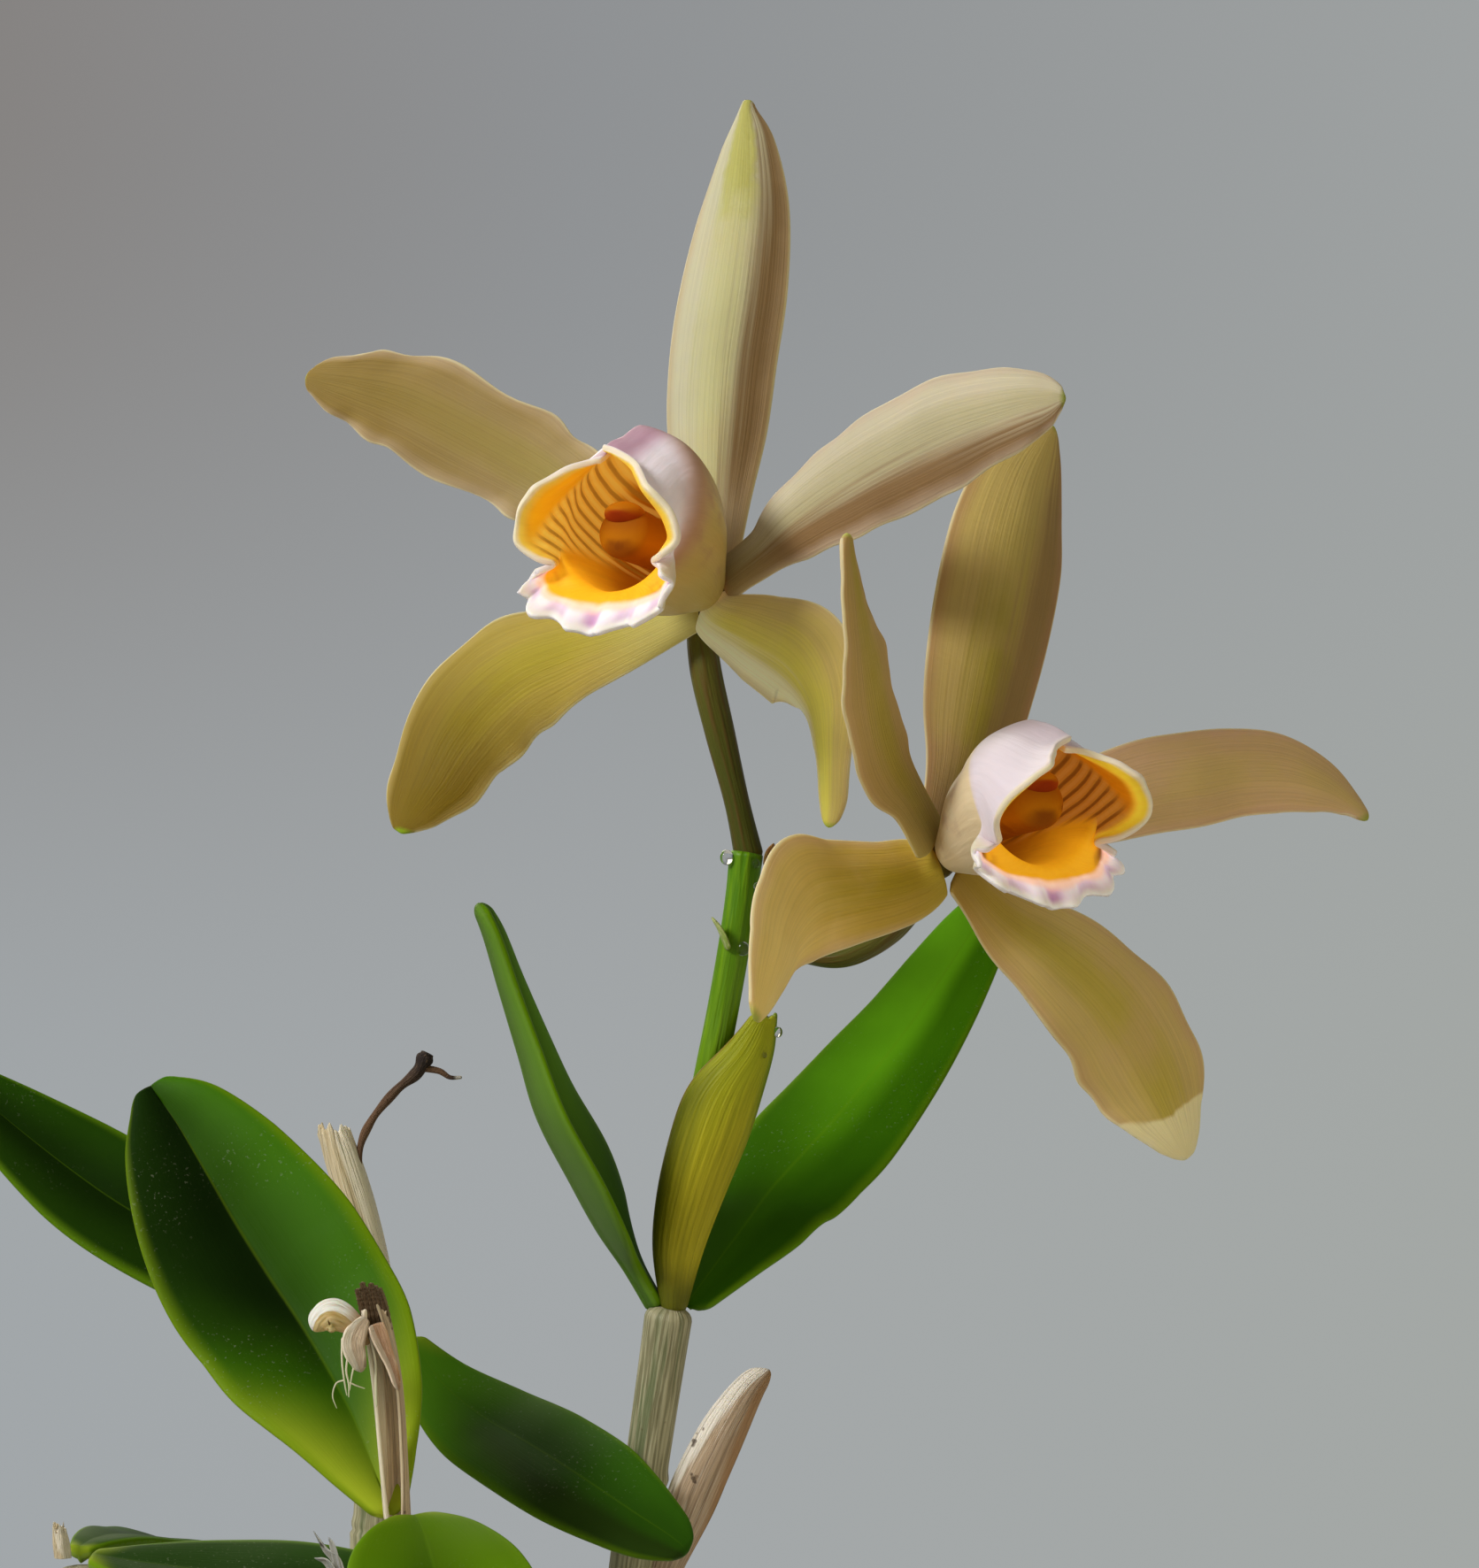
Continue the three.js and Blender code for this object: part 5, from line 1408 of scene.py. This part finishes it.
# %% First flower
open_flower(1, {
    "sepal_top_1": {
        "clock": 90,
        "shape": {"cup": -0.3, "fold": -0.12},
        # Painted shade: shaded tints the right side dark brown where the sepal turns away from the light.
        "paint": {"heart": (0.54, 0.52, 0.27), "body": (0.56, 0.53, 0.36), "margin": (0.46, 0.34, 0.20),
                  "foot": (0.48, 0.38, 0.24), "flush": 0.2, "painted_side_light": (1, (0.19, 0.11, 0.038), 0.36),
                  "warty": True},
        "stations": [(35.8, -1.6, 328, 4.6, -8), (35.8, 0, 337.5, 6.6, -12), (36.4, 2, 347.2, 7.3, -12),
                     (37.8, 4, 357, 7.3, -12), (39.2, 7, 367, 6.2, -10), (40, 10, 375.4, 3.8, -5),
                     (40.4, 11.6, 379.6, 1.3, 0), (40.8, 12, 380.9, 0.6, 0)],
    },
    "petal_left_1": {
        "clock": 152,
        "shape": {"cup": -0.12, "ruffle": 0.45, "frill": 0.26, "frills": 10},
        "paint": {"heart": (0.38, 0.30, 0.09), "body": (0.40, 0.30, 0.13), "margin": (0.50, 0.38, 0.25),
                  "foot": (0.46, 0.35, 0.16), "far": (0.28, 0.19, 0.045)},
        "stations": [(26.2, 1, 325.2, 4, 0), (17.6, 6, 330.8, 6, 0), (10.8, 9, 335, 6.9, 0),
                     (-1.8, 13, 341.7, 6.9, 0), (-9.3, 15, 344.2, 5, 0), (-14.6, 17, 345.5, 2.7, 0),
                     (-16.5, 18, 345.9, 0.7, 0)],
    },
    "petal_right_1": {
        "clock": 28,
        "shape": {"cup": -0.24, "ruffle": 0.3, "waves": 3, "frill": 0.08},
        # Painted shade: shaded tints the lower side dark brown.
        "paint": {"heart": (0.47, 0.42, 0.25), "body": (0.58, 0.52, 0.37), "margin": (0.54, 0.42, 0.32),
                  "foot": (0.40, 0.30, 0.12), "painted_side_light": (1, (0.24, 0.135, 0.050), 0.22)},
        "stations": [(41.7, -9.4, 322, 3.2, 0), (45.5, -13, 325.6, 5.2, 0), (51.1, -17, 329.5, 6.7, 0),
                     (57.6, -21, 333.2, 7.3, 0), (64.3, -25, 336.3, 7.4, 0), (71.9, -30, 338.4, 5.3, 0),
                     (76.1, -32, 339.1, 3.2, 0), (78.3, -33, 339.3, 0.7, 0)],
    },
    "sepal_left_1": {
        "clock": 232,
        "shape": {"cup": -0.26, "ruffle": 0.4, "waves": 2.5, "frill": 0.14, "frills": 7},
        # Painted shade: far paints the outer half dark olive, as if in shadow.
        "paint": {"heart": (0.43, 0.35, 0.03), "body": (0.47, 0.36, 0.065), "margin": (0.45, 0.34, 0.11),
                  "foot": (0.54, 0.49, 0.17), "far": (0.17, 0.105, 0.001), "tip": (0.30, 0.50, 0.02)},
        "stations": [(25.4, 1.6, 312.6, 4.6, 0), (17.6, 5, 310.3, 6.8, 0), (11.4, 7, 307.9, 8, 4),
                     (6.3, 9, 304, 8.6, 8), (2.6, 10, 299.2, 8.1, 10), (-0.1, 9, 293.7, 6.4, 8),
                     (-2.3, 7, 289.4, 3.8, 4), (-3.4, 6, 287.1, 0.8, 0)],
    },
    "sepal_right_1": {
        "clock": 272,
        "shape": {"cup": -0.26, "fold": -0.1, "ruffle": 0.2, "waves": 2},
        # Painted light: the heart and foot are painted very pale as if sunlit, shaded paints the lower side
        # paler still as a highlight, and glow adds a faint painted glow.
        "paint": {"heart": (0.80, 0.70, 0.12), "body": (0.66, 0.52, 0.16), "margin": (0.60, 0.43, 0.21),
                  "foot": (0.98, 0.92, 0.50), "painted_side_light": (1, (0.98, 0.90, 0.56), 0.34),
                  "tip": (0.42, 0.56, 0.06), "glow": 0.05},
        "stations": [(36.8, -6.2, 314, 3.7, 0), (41, -11, 311.9, 5.6, 0), (46, -15.6, 308.8, 6.9, -8),
                     (49, -16.6, 303.8, 5.6, -14), (50, -15, 297.6, 3.7, -18), (50.3, -13, 291.9, 2.8, -20),
                     (50.5, -12, 288, 1, -20)],
    },
})

# %% Second flower
open_flower(2, {
    "sepal_top_2": {
        "clock": 90,
        "shape": {"cup": -0.26, "fold": -0.08},
        # Painted light and shade: far paints the outer half lighter to lift a shadow cast on it, and shaded
        # tints the right side darker.
        "paint": {"heart": (0.33, 0.26, 0.035), "body": (0.45, 0.33, 0.11), "margin": (0.36, 0.20, 0.10),
                  "foot": (0.22, 0.125, 0.055), "far": (0.52, 0.40, 0.13), "flush": 0.45,
                  "painted_side_light": (1, (0.29, 0.185, 0.065), 0.22)},
        "stations": [(67, -17, 294.5, 4.8, 8), (68.9, -14, 301.3, 6.8, 12), (70.7, -10, 308.7, 7.9, 12),
                     (72.7, -5, 317, 8.4, 12), (74.6, 0, 325.3, 8.1, 12), (76.4, 5, 331.8, 6.6, 8),
                     (78.2, 8, 336.2, 4, 4), (79.5, 10, 339.1, 0.7, 0)],
    },
    "petal_left_2": {
        "clock": 152,
        "shape": {"cup": -0.14, "ruffle": 0.25, "frill": 0.06},
        "paint": {"heart": (0.40, 0.31, 0.05), "body": (0.44, 0.31, 0.10), "margin": (0.50, 0.34, 0.17),
                  "foot": (0.50, 0.42, 0.12), "tip": (0.50, 0.56, 0.12)},
        "stations": [(60.2, -26, 291.4, 3.6, 0), (57.7, -30, 295.6, 5.4, -4), (56, -34, 300.9, 6.3, -9),
                     (54.9, -38, 306.5, 6.1, -13), (53.8, -41, 311.7, 4.7, -19), (52.9, -43, 316.3, 3.1, -26),
                     (52.2, -44, 320.3, 1.8, -24), (52, -44, 322.7, 0.7, -20)],
    },
    "petal_right_2": {
        "clock": 28,
        "shape": {"cup": -0.16, "ruffle": 0.2, "waves": 2},
        "paint": {"heart": (0.60, 0.44, 0.17), "body": (0.60, 0.42, 0.20), "margin": (0.60, 0.38, 0.26),
                  "foot": (0.50, 0.32, 0.16), "flush": 0.5},
        "stations": [(75.9, -12, 289.2, 4.1, 0), (83.9, -7, 291.3, 5.4, 0), (90.9, -3, 293.2, 6, 0),
                     (96.7, 0, 294.1, 6.1, 0), (102.5, 3, 295, 5.7, 0), (108.3, 5, 294.9, 5.2, 0),
                     (113.5, 6, 293.2, 3.8, 0), (116.9, 6, 290.9, 2.1, 0), (119, 5, 288.8, 0.7, 0)],
    },
    "sepal_left_2": {
        "clock": 232,
        "shape": {"cup": -0.24, "fold": -0.06, "ruffle": 0.25, "waves": 2},
        "paint": {"heart": (0.52, 0.38, 0.03), "body": (0.60, 0.42, 0.07), "margin": (0.66, 0.44, 0.24),
                  "foot": (0.54, 0.39, 0.04), "far": (0.82, 0.62, 0.22)},
        "stations": [(61.2, -21.8, 282.2, 4.9, 0), (57.8, -24.6, 281.3, 5.6, 0), (52.7, -29, 280.7, 6.6, 0),
                     (48.4, -35, 279.9, 7.7, 10), (45.7, -40, 276.9, 6.9, 22), (44.1, -44, 272.6, 5.8, 30),
                     (42.6, -47, 268.9, 3.7, 30), (41.2, -49, 266.2, 1.2, 30)],
    },
    "sepal_right_2": {
        "clock": 308,
        "shape": {"cup": -0.18, "ruffle": 0.45, "waves": 2.5, "frill": 0.12, "frills": 8},
        # Painted light: withered paints the tip pale, as sunlit.
        "paint": {"heart": (0.54, 0.43, 0.08), "body": (0.62, 0.47, 0.17), "margin": (0.58, 0.38, 0.22),
                  "foot": (0.44, 0.27, 0.03), "flush": 0.4, "sunlit_tip": (0.86, (0.98, 0.84, 0.52)),
                  "tip": (0.34, 0.46, 0.06)},
        "stations": [(71.4, -16, 277.6, 4.6, 0), (78, -14, 272.9, 7.2, 0), (83.8, -12, 267.9, 8.7, -6),
                     (88, -10, 262.4, 8.9, -12), (91, -9, 256.8, 8.2, -12), (92.9, -9, 252.2, 6.2, -8),
                     (94.1, -9, 248.8, 3.4, -4), (94.5, -9, 246.8, 0.8, 0)],
    },
})

# %% [markdown]
# ## Lip
# The third petal of an orchid is its lip. Here it is rolled into a tube over the column, opens into two
# side lobes and ends in a frilled middle lobe. Cross-sections from the foot to the rim give its shape, and
# the frill, the pointed tip and the overlap of the two side lobes on top are added to them as waves.

# %% Lip shape
LIP_STEPS = 15
SEAM = {"turn": 0.985, "half": 0.35}


def oval(forward, half, middle, tall):
    """Half of a cross-section of the tube, from its floor to its seam: forward, aside and rise."""
    angles = [SEAM["turn"] * math.pi * k / LIP_STEPS for k in range(LIP_STEPS + 1)]
    return [(forward, max(half * math.sin(a), SEAM["half"]), middle - tall * math.cos(a)) for a in angles]


LIP_MOUTH = [
    (22.4, 0, -7), (22.4, 3.4, -6.8), (22.2, 6.4, -6.2), (21.8, 8.2, -4.8), (21.4, 8.9, -3.4), (21, 8.7, -2),
    (21.2, 8.1, -1.2), (22.4, 8.8, -0.4), (23.4, 9.7, 0.9), (24.6, 9.6, 2.6), (25.4, 8.6, 4.4),
    (25.4, 7.2, 6.2), (24.6, 5.6, 7.9), (23.8, 3.9, 9.6), (23, 2, 11.2), (22.6, 0.35, 12),
]
LIP_RIM = [
    (24.8, 0, -11.2), (24.8, 3.6, -10.8), (25, 7.4, -9.7), (24.6, 10, -7.8), (24.2, 10.7, -5.6),
    (24, 9.4, -3.6), (23.2, 7.2, -2.5), (24.6, 8.9, -2), (25.8, 11.3, -0.2), (26.8, 10.9, 2.4),
    (28.2, 9.2, 4.4), (28.8, 7.6, 5.6), (27.8, 6.2, 7.1), (26.4, 4.2, 8.6), (25.2, 1.9, 9.7),
    (24.6, 0.35, 10.1),
]
LIP_SECTIONS = [oval(1.4, 3, 0.3, 3.1), oval(5, 5.2, 1.6, 5.6), oval(9, 7.6, 3.4, 8.6), oval(13, 9, 4.6, 10),
                oval(17, 9.4, 4.9, 10.6), oval(20.5, 8.8, 3.7, 9.4), LIP_MOUTH, LIP_RIM]

# %% [markdown]
# The two lips aren't twins, and this table holds what makes each its own. The side lobe named by upper, 1 for
# the right one and -1 for the left, lies over the other and leans forward. The middle lobe is pulled back,
# droops on one side, or is lifted, and crown, waist and sag tell how high, slim and low-slung the tube is.
# The frill is made of scallops, finer wrinkles and one small point in the middle, all as shares of the way
# from the middle of the lip's floor to its seam.

# %% Two lips
SCALLOP = 0.1
WRINKLE = 0.043
POINT = 0.022
LIPS = {
    1: {"looks": (-0.53, -0.82, 0.2), "upper": 1, "pull": 0, "crown": 1, "waist": 1, "droop": 1.2, "sag": 0,
        "lean": 0, "roll": 1, "lift": 0},
    2: {"looks": (0.53, -0.82, 0.2), "upper": -1, "pull": 4.4, "crown": 0.83, "waist": 0.8, "droop": -0.4,
        "sag": 0.7, "lean": 4.2, "roll": 0.2, "lift": 1},
}


def smooth_step(x, low, high):
    share = np.clip((x - low) / (high - low), 0, 1)
    return share * share * (3 - 2 * share)


# %% Lip surface
def lip_surface(number):
    """A lip as a surface: t runs from its foot to its rim, and s from seam to seam over its floor."""
    lip = LIPS[number]
    middle, ahead, up, right = compass(CENTRES[number][0], lip["looks"])
    sections = []
    for i, section in enumerate(LIP_SECTIONS):
        late = max(0, i - 4) / (len(LIP_SECTIONS) - 5)
        slim = np.interp(i, [3, 5], [lip["waist"], 1])
        sections.append([(forward - lip["pull"] * late * (1 - smooth_step(k, 4, 9)), aside * slim,
                          rise * slim * (lip["crown"] if rise > 0 else 1))
                         for k, (forward, aside, rise) in enumerate(section)])

    def surface(t, s):
        way = np.abs(s)
        side = s * lip["upper"]
        forward, aside, rise = curve(np.stack([curve(section, way) for section in sections]), t).T
        mouth = smooth_step(t, 0.75, 1)
        rise = rise - lip["droop"] * mouth * smooth_step(way, 0.4, 0.15) * np.clip(side / 0.2, -0.3, 1)
        rise = rise - lip["sag"] * smooth_step(t, 0.6, 1) * smooth_step(way, 0.3, 0.5)
        rise = rise + lip["lift"] * smooth_step(t, 0.8, 1) * smooth_step(way, 0.35, 0.2)
        lean = lip["lean"] * smooth_step(side, 0.45, 0.72) * (1 - 0.75 * smooth_step(way, 0.8, 1))
        forward = forward + lean * smooth_step(t, 0.6, 1)
        out = np.hypot(aside, rise - 3)
        rolled = smooth_step(t, 0.9, 1) ** 2 * smooth_step(way, 0.42, 0.55)
        roll = rolled * np.where(side > 0, lip["roll"], 0.3)
        forward, aside, rise = forward - 0.3 * roll, aside * (1 + roll / out), rise + (rise - 3) * roll / out
        edge = smooth_step(t, 0.82, 1)
        lobe = smooth_step(way, 0.40, 0.30)
        lump = np.sin(2 * math.pi * (way / SCALLOP - 0.2) + 3 * s)
        wrinkle = np.sin(2 * math.pi * s / WRINKLE + 2)
        tip = np.exp(-((s / POINT) ** 2))
        forward = forward + edge * lobe * (0.95 * lump + 0.2 * wrinkle)
        rise = rise - edge * lobe * (0.6 * lump + tip + 0.15 * wrinkle)
        wavy = edge * smooth_step(way, 0.42, 0.55)
        forward = forward + wavy * 0.14 * np.sin(2 * math.pi * s * 9)
        seam = smooth_step(way, 0.86, 1) * smooth_step(t, 0.05, 0.3)
        aside = np.sign(s) * aside - lip["upper"] * seam * np.where(side > 0, 1.7, 0.6)
        rise = rise + seam * np.where(side > 0, 0.8, -0.35)
        return middle + np.outer(forward, ahead) + np.outer(aside, right) + np.outer(rise, up)

    return surface


# %% [markdown]
# Outside, the lip is pale lilac over its dome and tan towards its foot, and both hold painted light: on the
# first lip the dome is painted near-white as lit and the flank darker as in shade, and a dark crease by the
# seam is a painted shadow. Inside it is golden, with brown veins up the side lobes, and its frill is white
# and lilac; the throat is painted darker as shade, the frill's scallops are painted paler on their crests and
# darker in their hollows, and the inside gives off a painted glow. The solidified sheet has a first side,
# another side and a rim, so each of the three gets a finish of its own.


# %% Outside of a lip
def lip_outside(name, dome, flank, base, border, crease, soft=0.14):
    skin = Finish(name, (0.35, 3, (1.0, 0.7, 0.6)), Roughness=0.45, Specular_IOR_Level=0.3)
    s, t = skin.across, skin.along
    way = s.size()
    clouds = skin.noise(110, 3)
    veins = skin.streaks(22, 3, 3)
    reach = t + way * 0.3 + clouds * 0.10
    flecks = skin.noise(290, 4).rise(0.50, 0.74) * reach.rise(border, border - 0.1) * way.rise(0.25, 0.45)
    seam = way.rise(0.84, 0.93) * t.rise(0.35, 0.6) * t.rise(1.0, 0.9)
    # Partly painted light: the dome's pale lilac also holds a painted highlight, the first lip's darker flank
    # painted shade, and on the second lip the hard edge between dome and foot is a painted shadow edge.
    colour = skin.layers(
        base,
        (reach.rise(border - soft, border), flank),
        (reach.rise(border - soft * 0.3, border + soft), dome),
        (flecks * 0.4, (0.30, 0.13, 0.10)),
        (way.rise(0.40, 0.32) * t.rise(0.75, 0.9), (0.74, 0.66, 0.50)),
        # Painted shadow: beside the seam, where one side lobe overlaps the other, crease paints a dark mauve
        # shadow.
        (seam * crease, (0.36, 0.13, 0.22)),
        (way.rise(0.36, 0.44) * t.rise(0.94, 1.0) * 0.7, (0.88, 0.72, 0.62)),
    )
    skin.wear("Base Color", skin.shade(colour, veins * 0.16 + 0.92))
    skin.bump(veins + clouds * 0.4, 0.2)
    return skin


# %% Inside of a lip
# Strength of the painted glow inside the lip.
LIP_PAINTED_GLOW = 0.3


def lip_inside(name, climb, wall, vein, rib, band, edge, edge_at, throat):
    """climb is the direction in which one vein follows another."""
    skin = Finish(name, (0.3, 3, (1.0, 0.6, 0.15)), Roughness=0.5, Specular_IOR_Level=0.2,
                  Emission_Strength=LIP_PAINTED_GLOW)
    s, t = skin.across, skin.along
    way = s.size()
    clouds = skin.noise(150, 3)
    fine = skin.streaks(46, 3, 3)
    side = way.rise(0.34, 0.42)
    reach = t + way * 1.2 + clouds * 0.06
    waves = (skin.measure(climb) * 3.8 + clouds * 2.5).wave()
    spread = side * reach.rise(1.62, 1.46)
    lines = waves.rise(0.25, 0.95) * spread
    knots = skin.noise(300, 2).rise(0.46, 0.58) * way.rise(0.12, 0.24) * way.rise(0.42, 0.34)
    lobe = way.rise(0.40, 0.33)
    lumps = (way * (2 * math.pi / SCALLOP) + s * 3 - 0.4 * math.pi).wave().rise(-0.6, 0.9)
    # Painted light and shade: the frill is paler on the crests of its scallops and darker lilac in their
    # hollows, in step with the scallops of the shape.
    frill = skin.mix(lumps * 0.6 + clouds * 0.6, (0.62, 0.42, 0.58), (0.86, 0.78, 0.84))
    frill = skin.mix(way.rise(0.035, 0.0) * 0.8, frill, (0.50, 0.24, 0.44))
    cream = skin.mix(lobe, (0.86, 0.72, 0.50), (0.88, 0.82, 0.78))
    # The throat deep in the tube is dark amber: its own colour, darkened further as painted shade of the
    # recess.
    colour = skin.layers(
        throat,
        ((t + clouds * 0.16).rise(0.30, 0.62), (0.76, 0.36, 0.010)),
        (side * t.rise(0.30, 0.42), wall),
        (side * reach.rise(1.50, 1.62), band),
        (lines * (fine * 0.5 + 0.55), vein),
        (waves.rise(-0.2, -0.9) * spread * 0.5, rib),
        (t.rise(edge_at, edge_at + 0.07) * side, edge),
        (knots * t.rise(0.78, 0.85) * t.rise(0.97, 0.92), (0.22, 0.08, 0.008)),
        (lobe * (t + clouds * 0.08).rise(0.90, 0.94), (0.88, 0.56, 0.44)),
        (lobe * (t + clouds * 0.06).rise(0.93, 0.97), frill),
        ((t + clouds * 0.02).rise(0.965, 1.0), cream),
    )
    colour = skin.shade(colour, fine * 0.2 + 0.9)
    # Painted glow: the inside gives off its own colour, fading near the rim and stronger over the floor of
    # the tube, to light it as if from the window.
    painted_floor_glow = way.rise(0.34, 0.25) * t.rise(0.45, 0.65) * 0.9 + 1
    skin.wear_with_glow(colour, (t.rise(0.98, 0.88) * 0.75 + 0.25) * painted_floor_glow)
    skin.bump(lines * -0.3 + clouds * 0.5 + fine * 0.3, 0.25)
    return skin


# %% Rim of a lip, and the colours of both
def lip_rim(name, colour, pink):
    skin = Finish(name, (0.4, 2, (1.0, 0.8, 0.6)), Roughness=0.5, Specular_IOR_Level=0.3)
    patchy = skin.mix(skin.noise(260, 2).rise(0.4, 0.65) * 0.6, colour, pink)
    skin.wear("Base Color", skin.mix(skin.across.size().rise(0.42, 0.36), patchy, (0.86, 0.78, 0.78)))
    return skin


# Some of these colours are painted light and shade: the first lip's near-white dome is painted lit, its
# crease a painted shadow, and the second lip's inside is painted darker as in shade.
LIP_PAINT = {
    1: {
        "outside": {"dome": (0.98, 0.87, 1.00), "flank": (0.46, 0.27, 0.16), "base": (0.50, 0.39, 0.13),
                    "border": 0.84, "crease": 0.75, "soft": 0.16},
        "inside": {"wall": (0.80, 0.50, 0.06), "vein": (0.34, 0.17, 0.016), "rib": (0.90, 0.64, 0.12),
                   "band": (0.80, 0.40, 0.008), "edge": (0.90, 0.60, 0.07), "edge_at": 0.90,
                   "throat": (0.36, 0.10, 0.002)},
    },
    2: {
        "outside": {"dome": (0.80, 0.70, 0.78), "flank": (0.78, 0.66, 0.68), "base": (0.78, 0.62, 0.40),
                    "border": 0.86, "crease": 0.15, "soft": 0.03},
        "inside": {"wall": (0.50, 0.20, 0.02), "vein": (0.17, 0.05, 0.004), "rib": (0.56, 0.27, 0.05),
                   "band": (0.60, 0.20, 0.003), "edge": (0.98, 0.66, 0.04), "edge_at": 0.86,
                   "throat": (0.34, 0.10, 0.002)},
    },
}

# %% Lips
LIP_THICKNESS = 0.8
LIP_GRID = (124, 72)
VEIN_SLOPE = 0.44
for number, paint in LIP_PAINT.items():
    piece = sheet(f"lip_{number}_tissue", lip_surface(number), *LIP_GRID, LIP_THICKNESS)
    _, ahead, up, _ = compass(CENTRES[number][0], LIPS[number]["looks"])
    outside = lip_outside(f"lip_{number}_outside", **paint["outside"])
    inside = lip_inside(f"lip_{number}_inside", up - VEIN_SLOPE * ahead, **paint["inside"])
    rim = lip_rim(f"lip_{number}_rim", (0.94, 0.80, 0.58), (0.92, 0.74, 0.66))
    finished(piece, "lip", outside, inside, rim, node=f"lip_{number}")

# %% [markdown]
# ## Column
# Under the roof of the lip lies the column, where the orchid keeps its pollen and stigma. It is a waxy club
# that turns dark red at its end, and the anther sits on that end like a small cap.


# %% Column
# Strength of the painted glow of the column and its cap.
COLUMN_PAINTED_GLOW = 0.25


def column_finish(name, top, under, band):
    wax = Finish(name, (0.3, 3, (1.0, 0.5, 0.15)), Roughness=0.7, Specular_IOR_Level=0.04,
                 Emission_Strength=COLUMN_PAINTED_GLOW)
    patches = wax.noise(260, 3)
    height = wax.third + patches * 0.5 - 0.25
    colour = wax.mix(height.rise(-0.5, 0.6), under, top)
    colour = wax.mix(height.rise(-0.45, -1.0) * 0.8, colour, band)
    colour = wax.mix(patches.rise(0.60, 0.7) * 0.6, colour, band)
    wax.wear_with_glow(colour)
    wax.bump(patches, 0.2)
    return wax


COLUMN = [(0, 0.6, 0, 1.5), (0, -5, 0.8, 1.9), (0, -11, 2, 2.6), (0, -16, 2.5, 3.2), (0, -20.8, 2.4, 3.3)]
CAP = [(0, -17.5, 4.1, 1.3), (0, -19.8, 4.6, 1.5), (0, -21.8, 4.6, 1.2)]


def in_flower(number, rows):
    """Rows of x, depth, z and radius in a flower's own directions, and the one that points to its right."""
    middle, ahead, up, right = compass(CENTRES[number][0], LIPS[number]["looks"])
    return right, [(*(middle + right * x - ahead * y + up * z), radius) for x, y, z, radius in rows]


column_wax = column_finish("column_wax", (0.28, 0.075, 0.002), (0.36, 0.115, 0.002), (0.15, 0.032, 0.002))
cap_wax = column_finish("cap_wax", (0.36, 0.12, 0.003), (0.24, 0.03, 0.002), (0.20, 0.02, 0.002))
for number in CENTRES:
    level, rows = in_flower(number, COLUMN)
    piece = stalk(f"column_{number}_wax", rows, 40, 70, (0.02, 0.09), level=level, wide=1.12)
    finished(piece, "column", column_wax, node=f"column_{number}")
    level, rows = in_flower(number, CAP)
    piece = stalk(f"anther_cap_{number}_wax", rows, 36, 40, (0.3, 0.45), level=level, wide=1.8)
    finished(piece, "column", cap_wax, node=f"anther_cap_{number}")

# %% [markdown]
# ## Floor
# The pot stands on a plain pale floor, which isn't part of the plant.

# %% Floor
clear_selection()
bpy.ops.mesh.primitive_circle_add(vertices=96, radius=0.8, fill_type="NGON", location=(0, 0, -0.0003))
floor = bpy.context.object
floor.name = "floor"
bpy.ops.object.transform_apply(location=True, rotation=True, scale=True)
plain = Finish("floor_paint", Roughness=0.7)
plain.wear("Base Color", plain.mix(plain.noise(6, 2), (0.60, 0.60, 0.58), (0.66, 0.66, 0.64)))
floor.data.materials.append(plain.material)
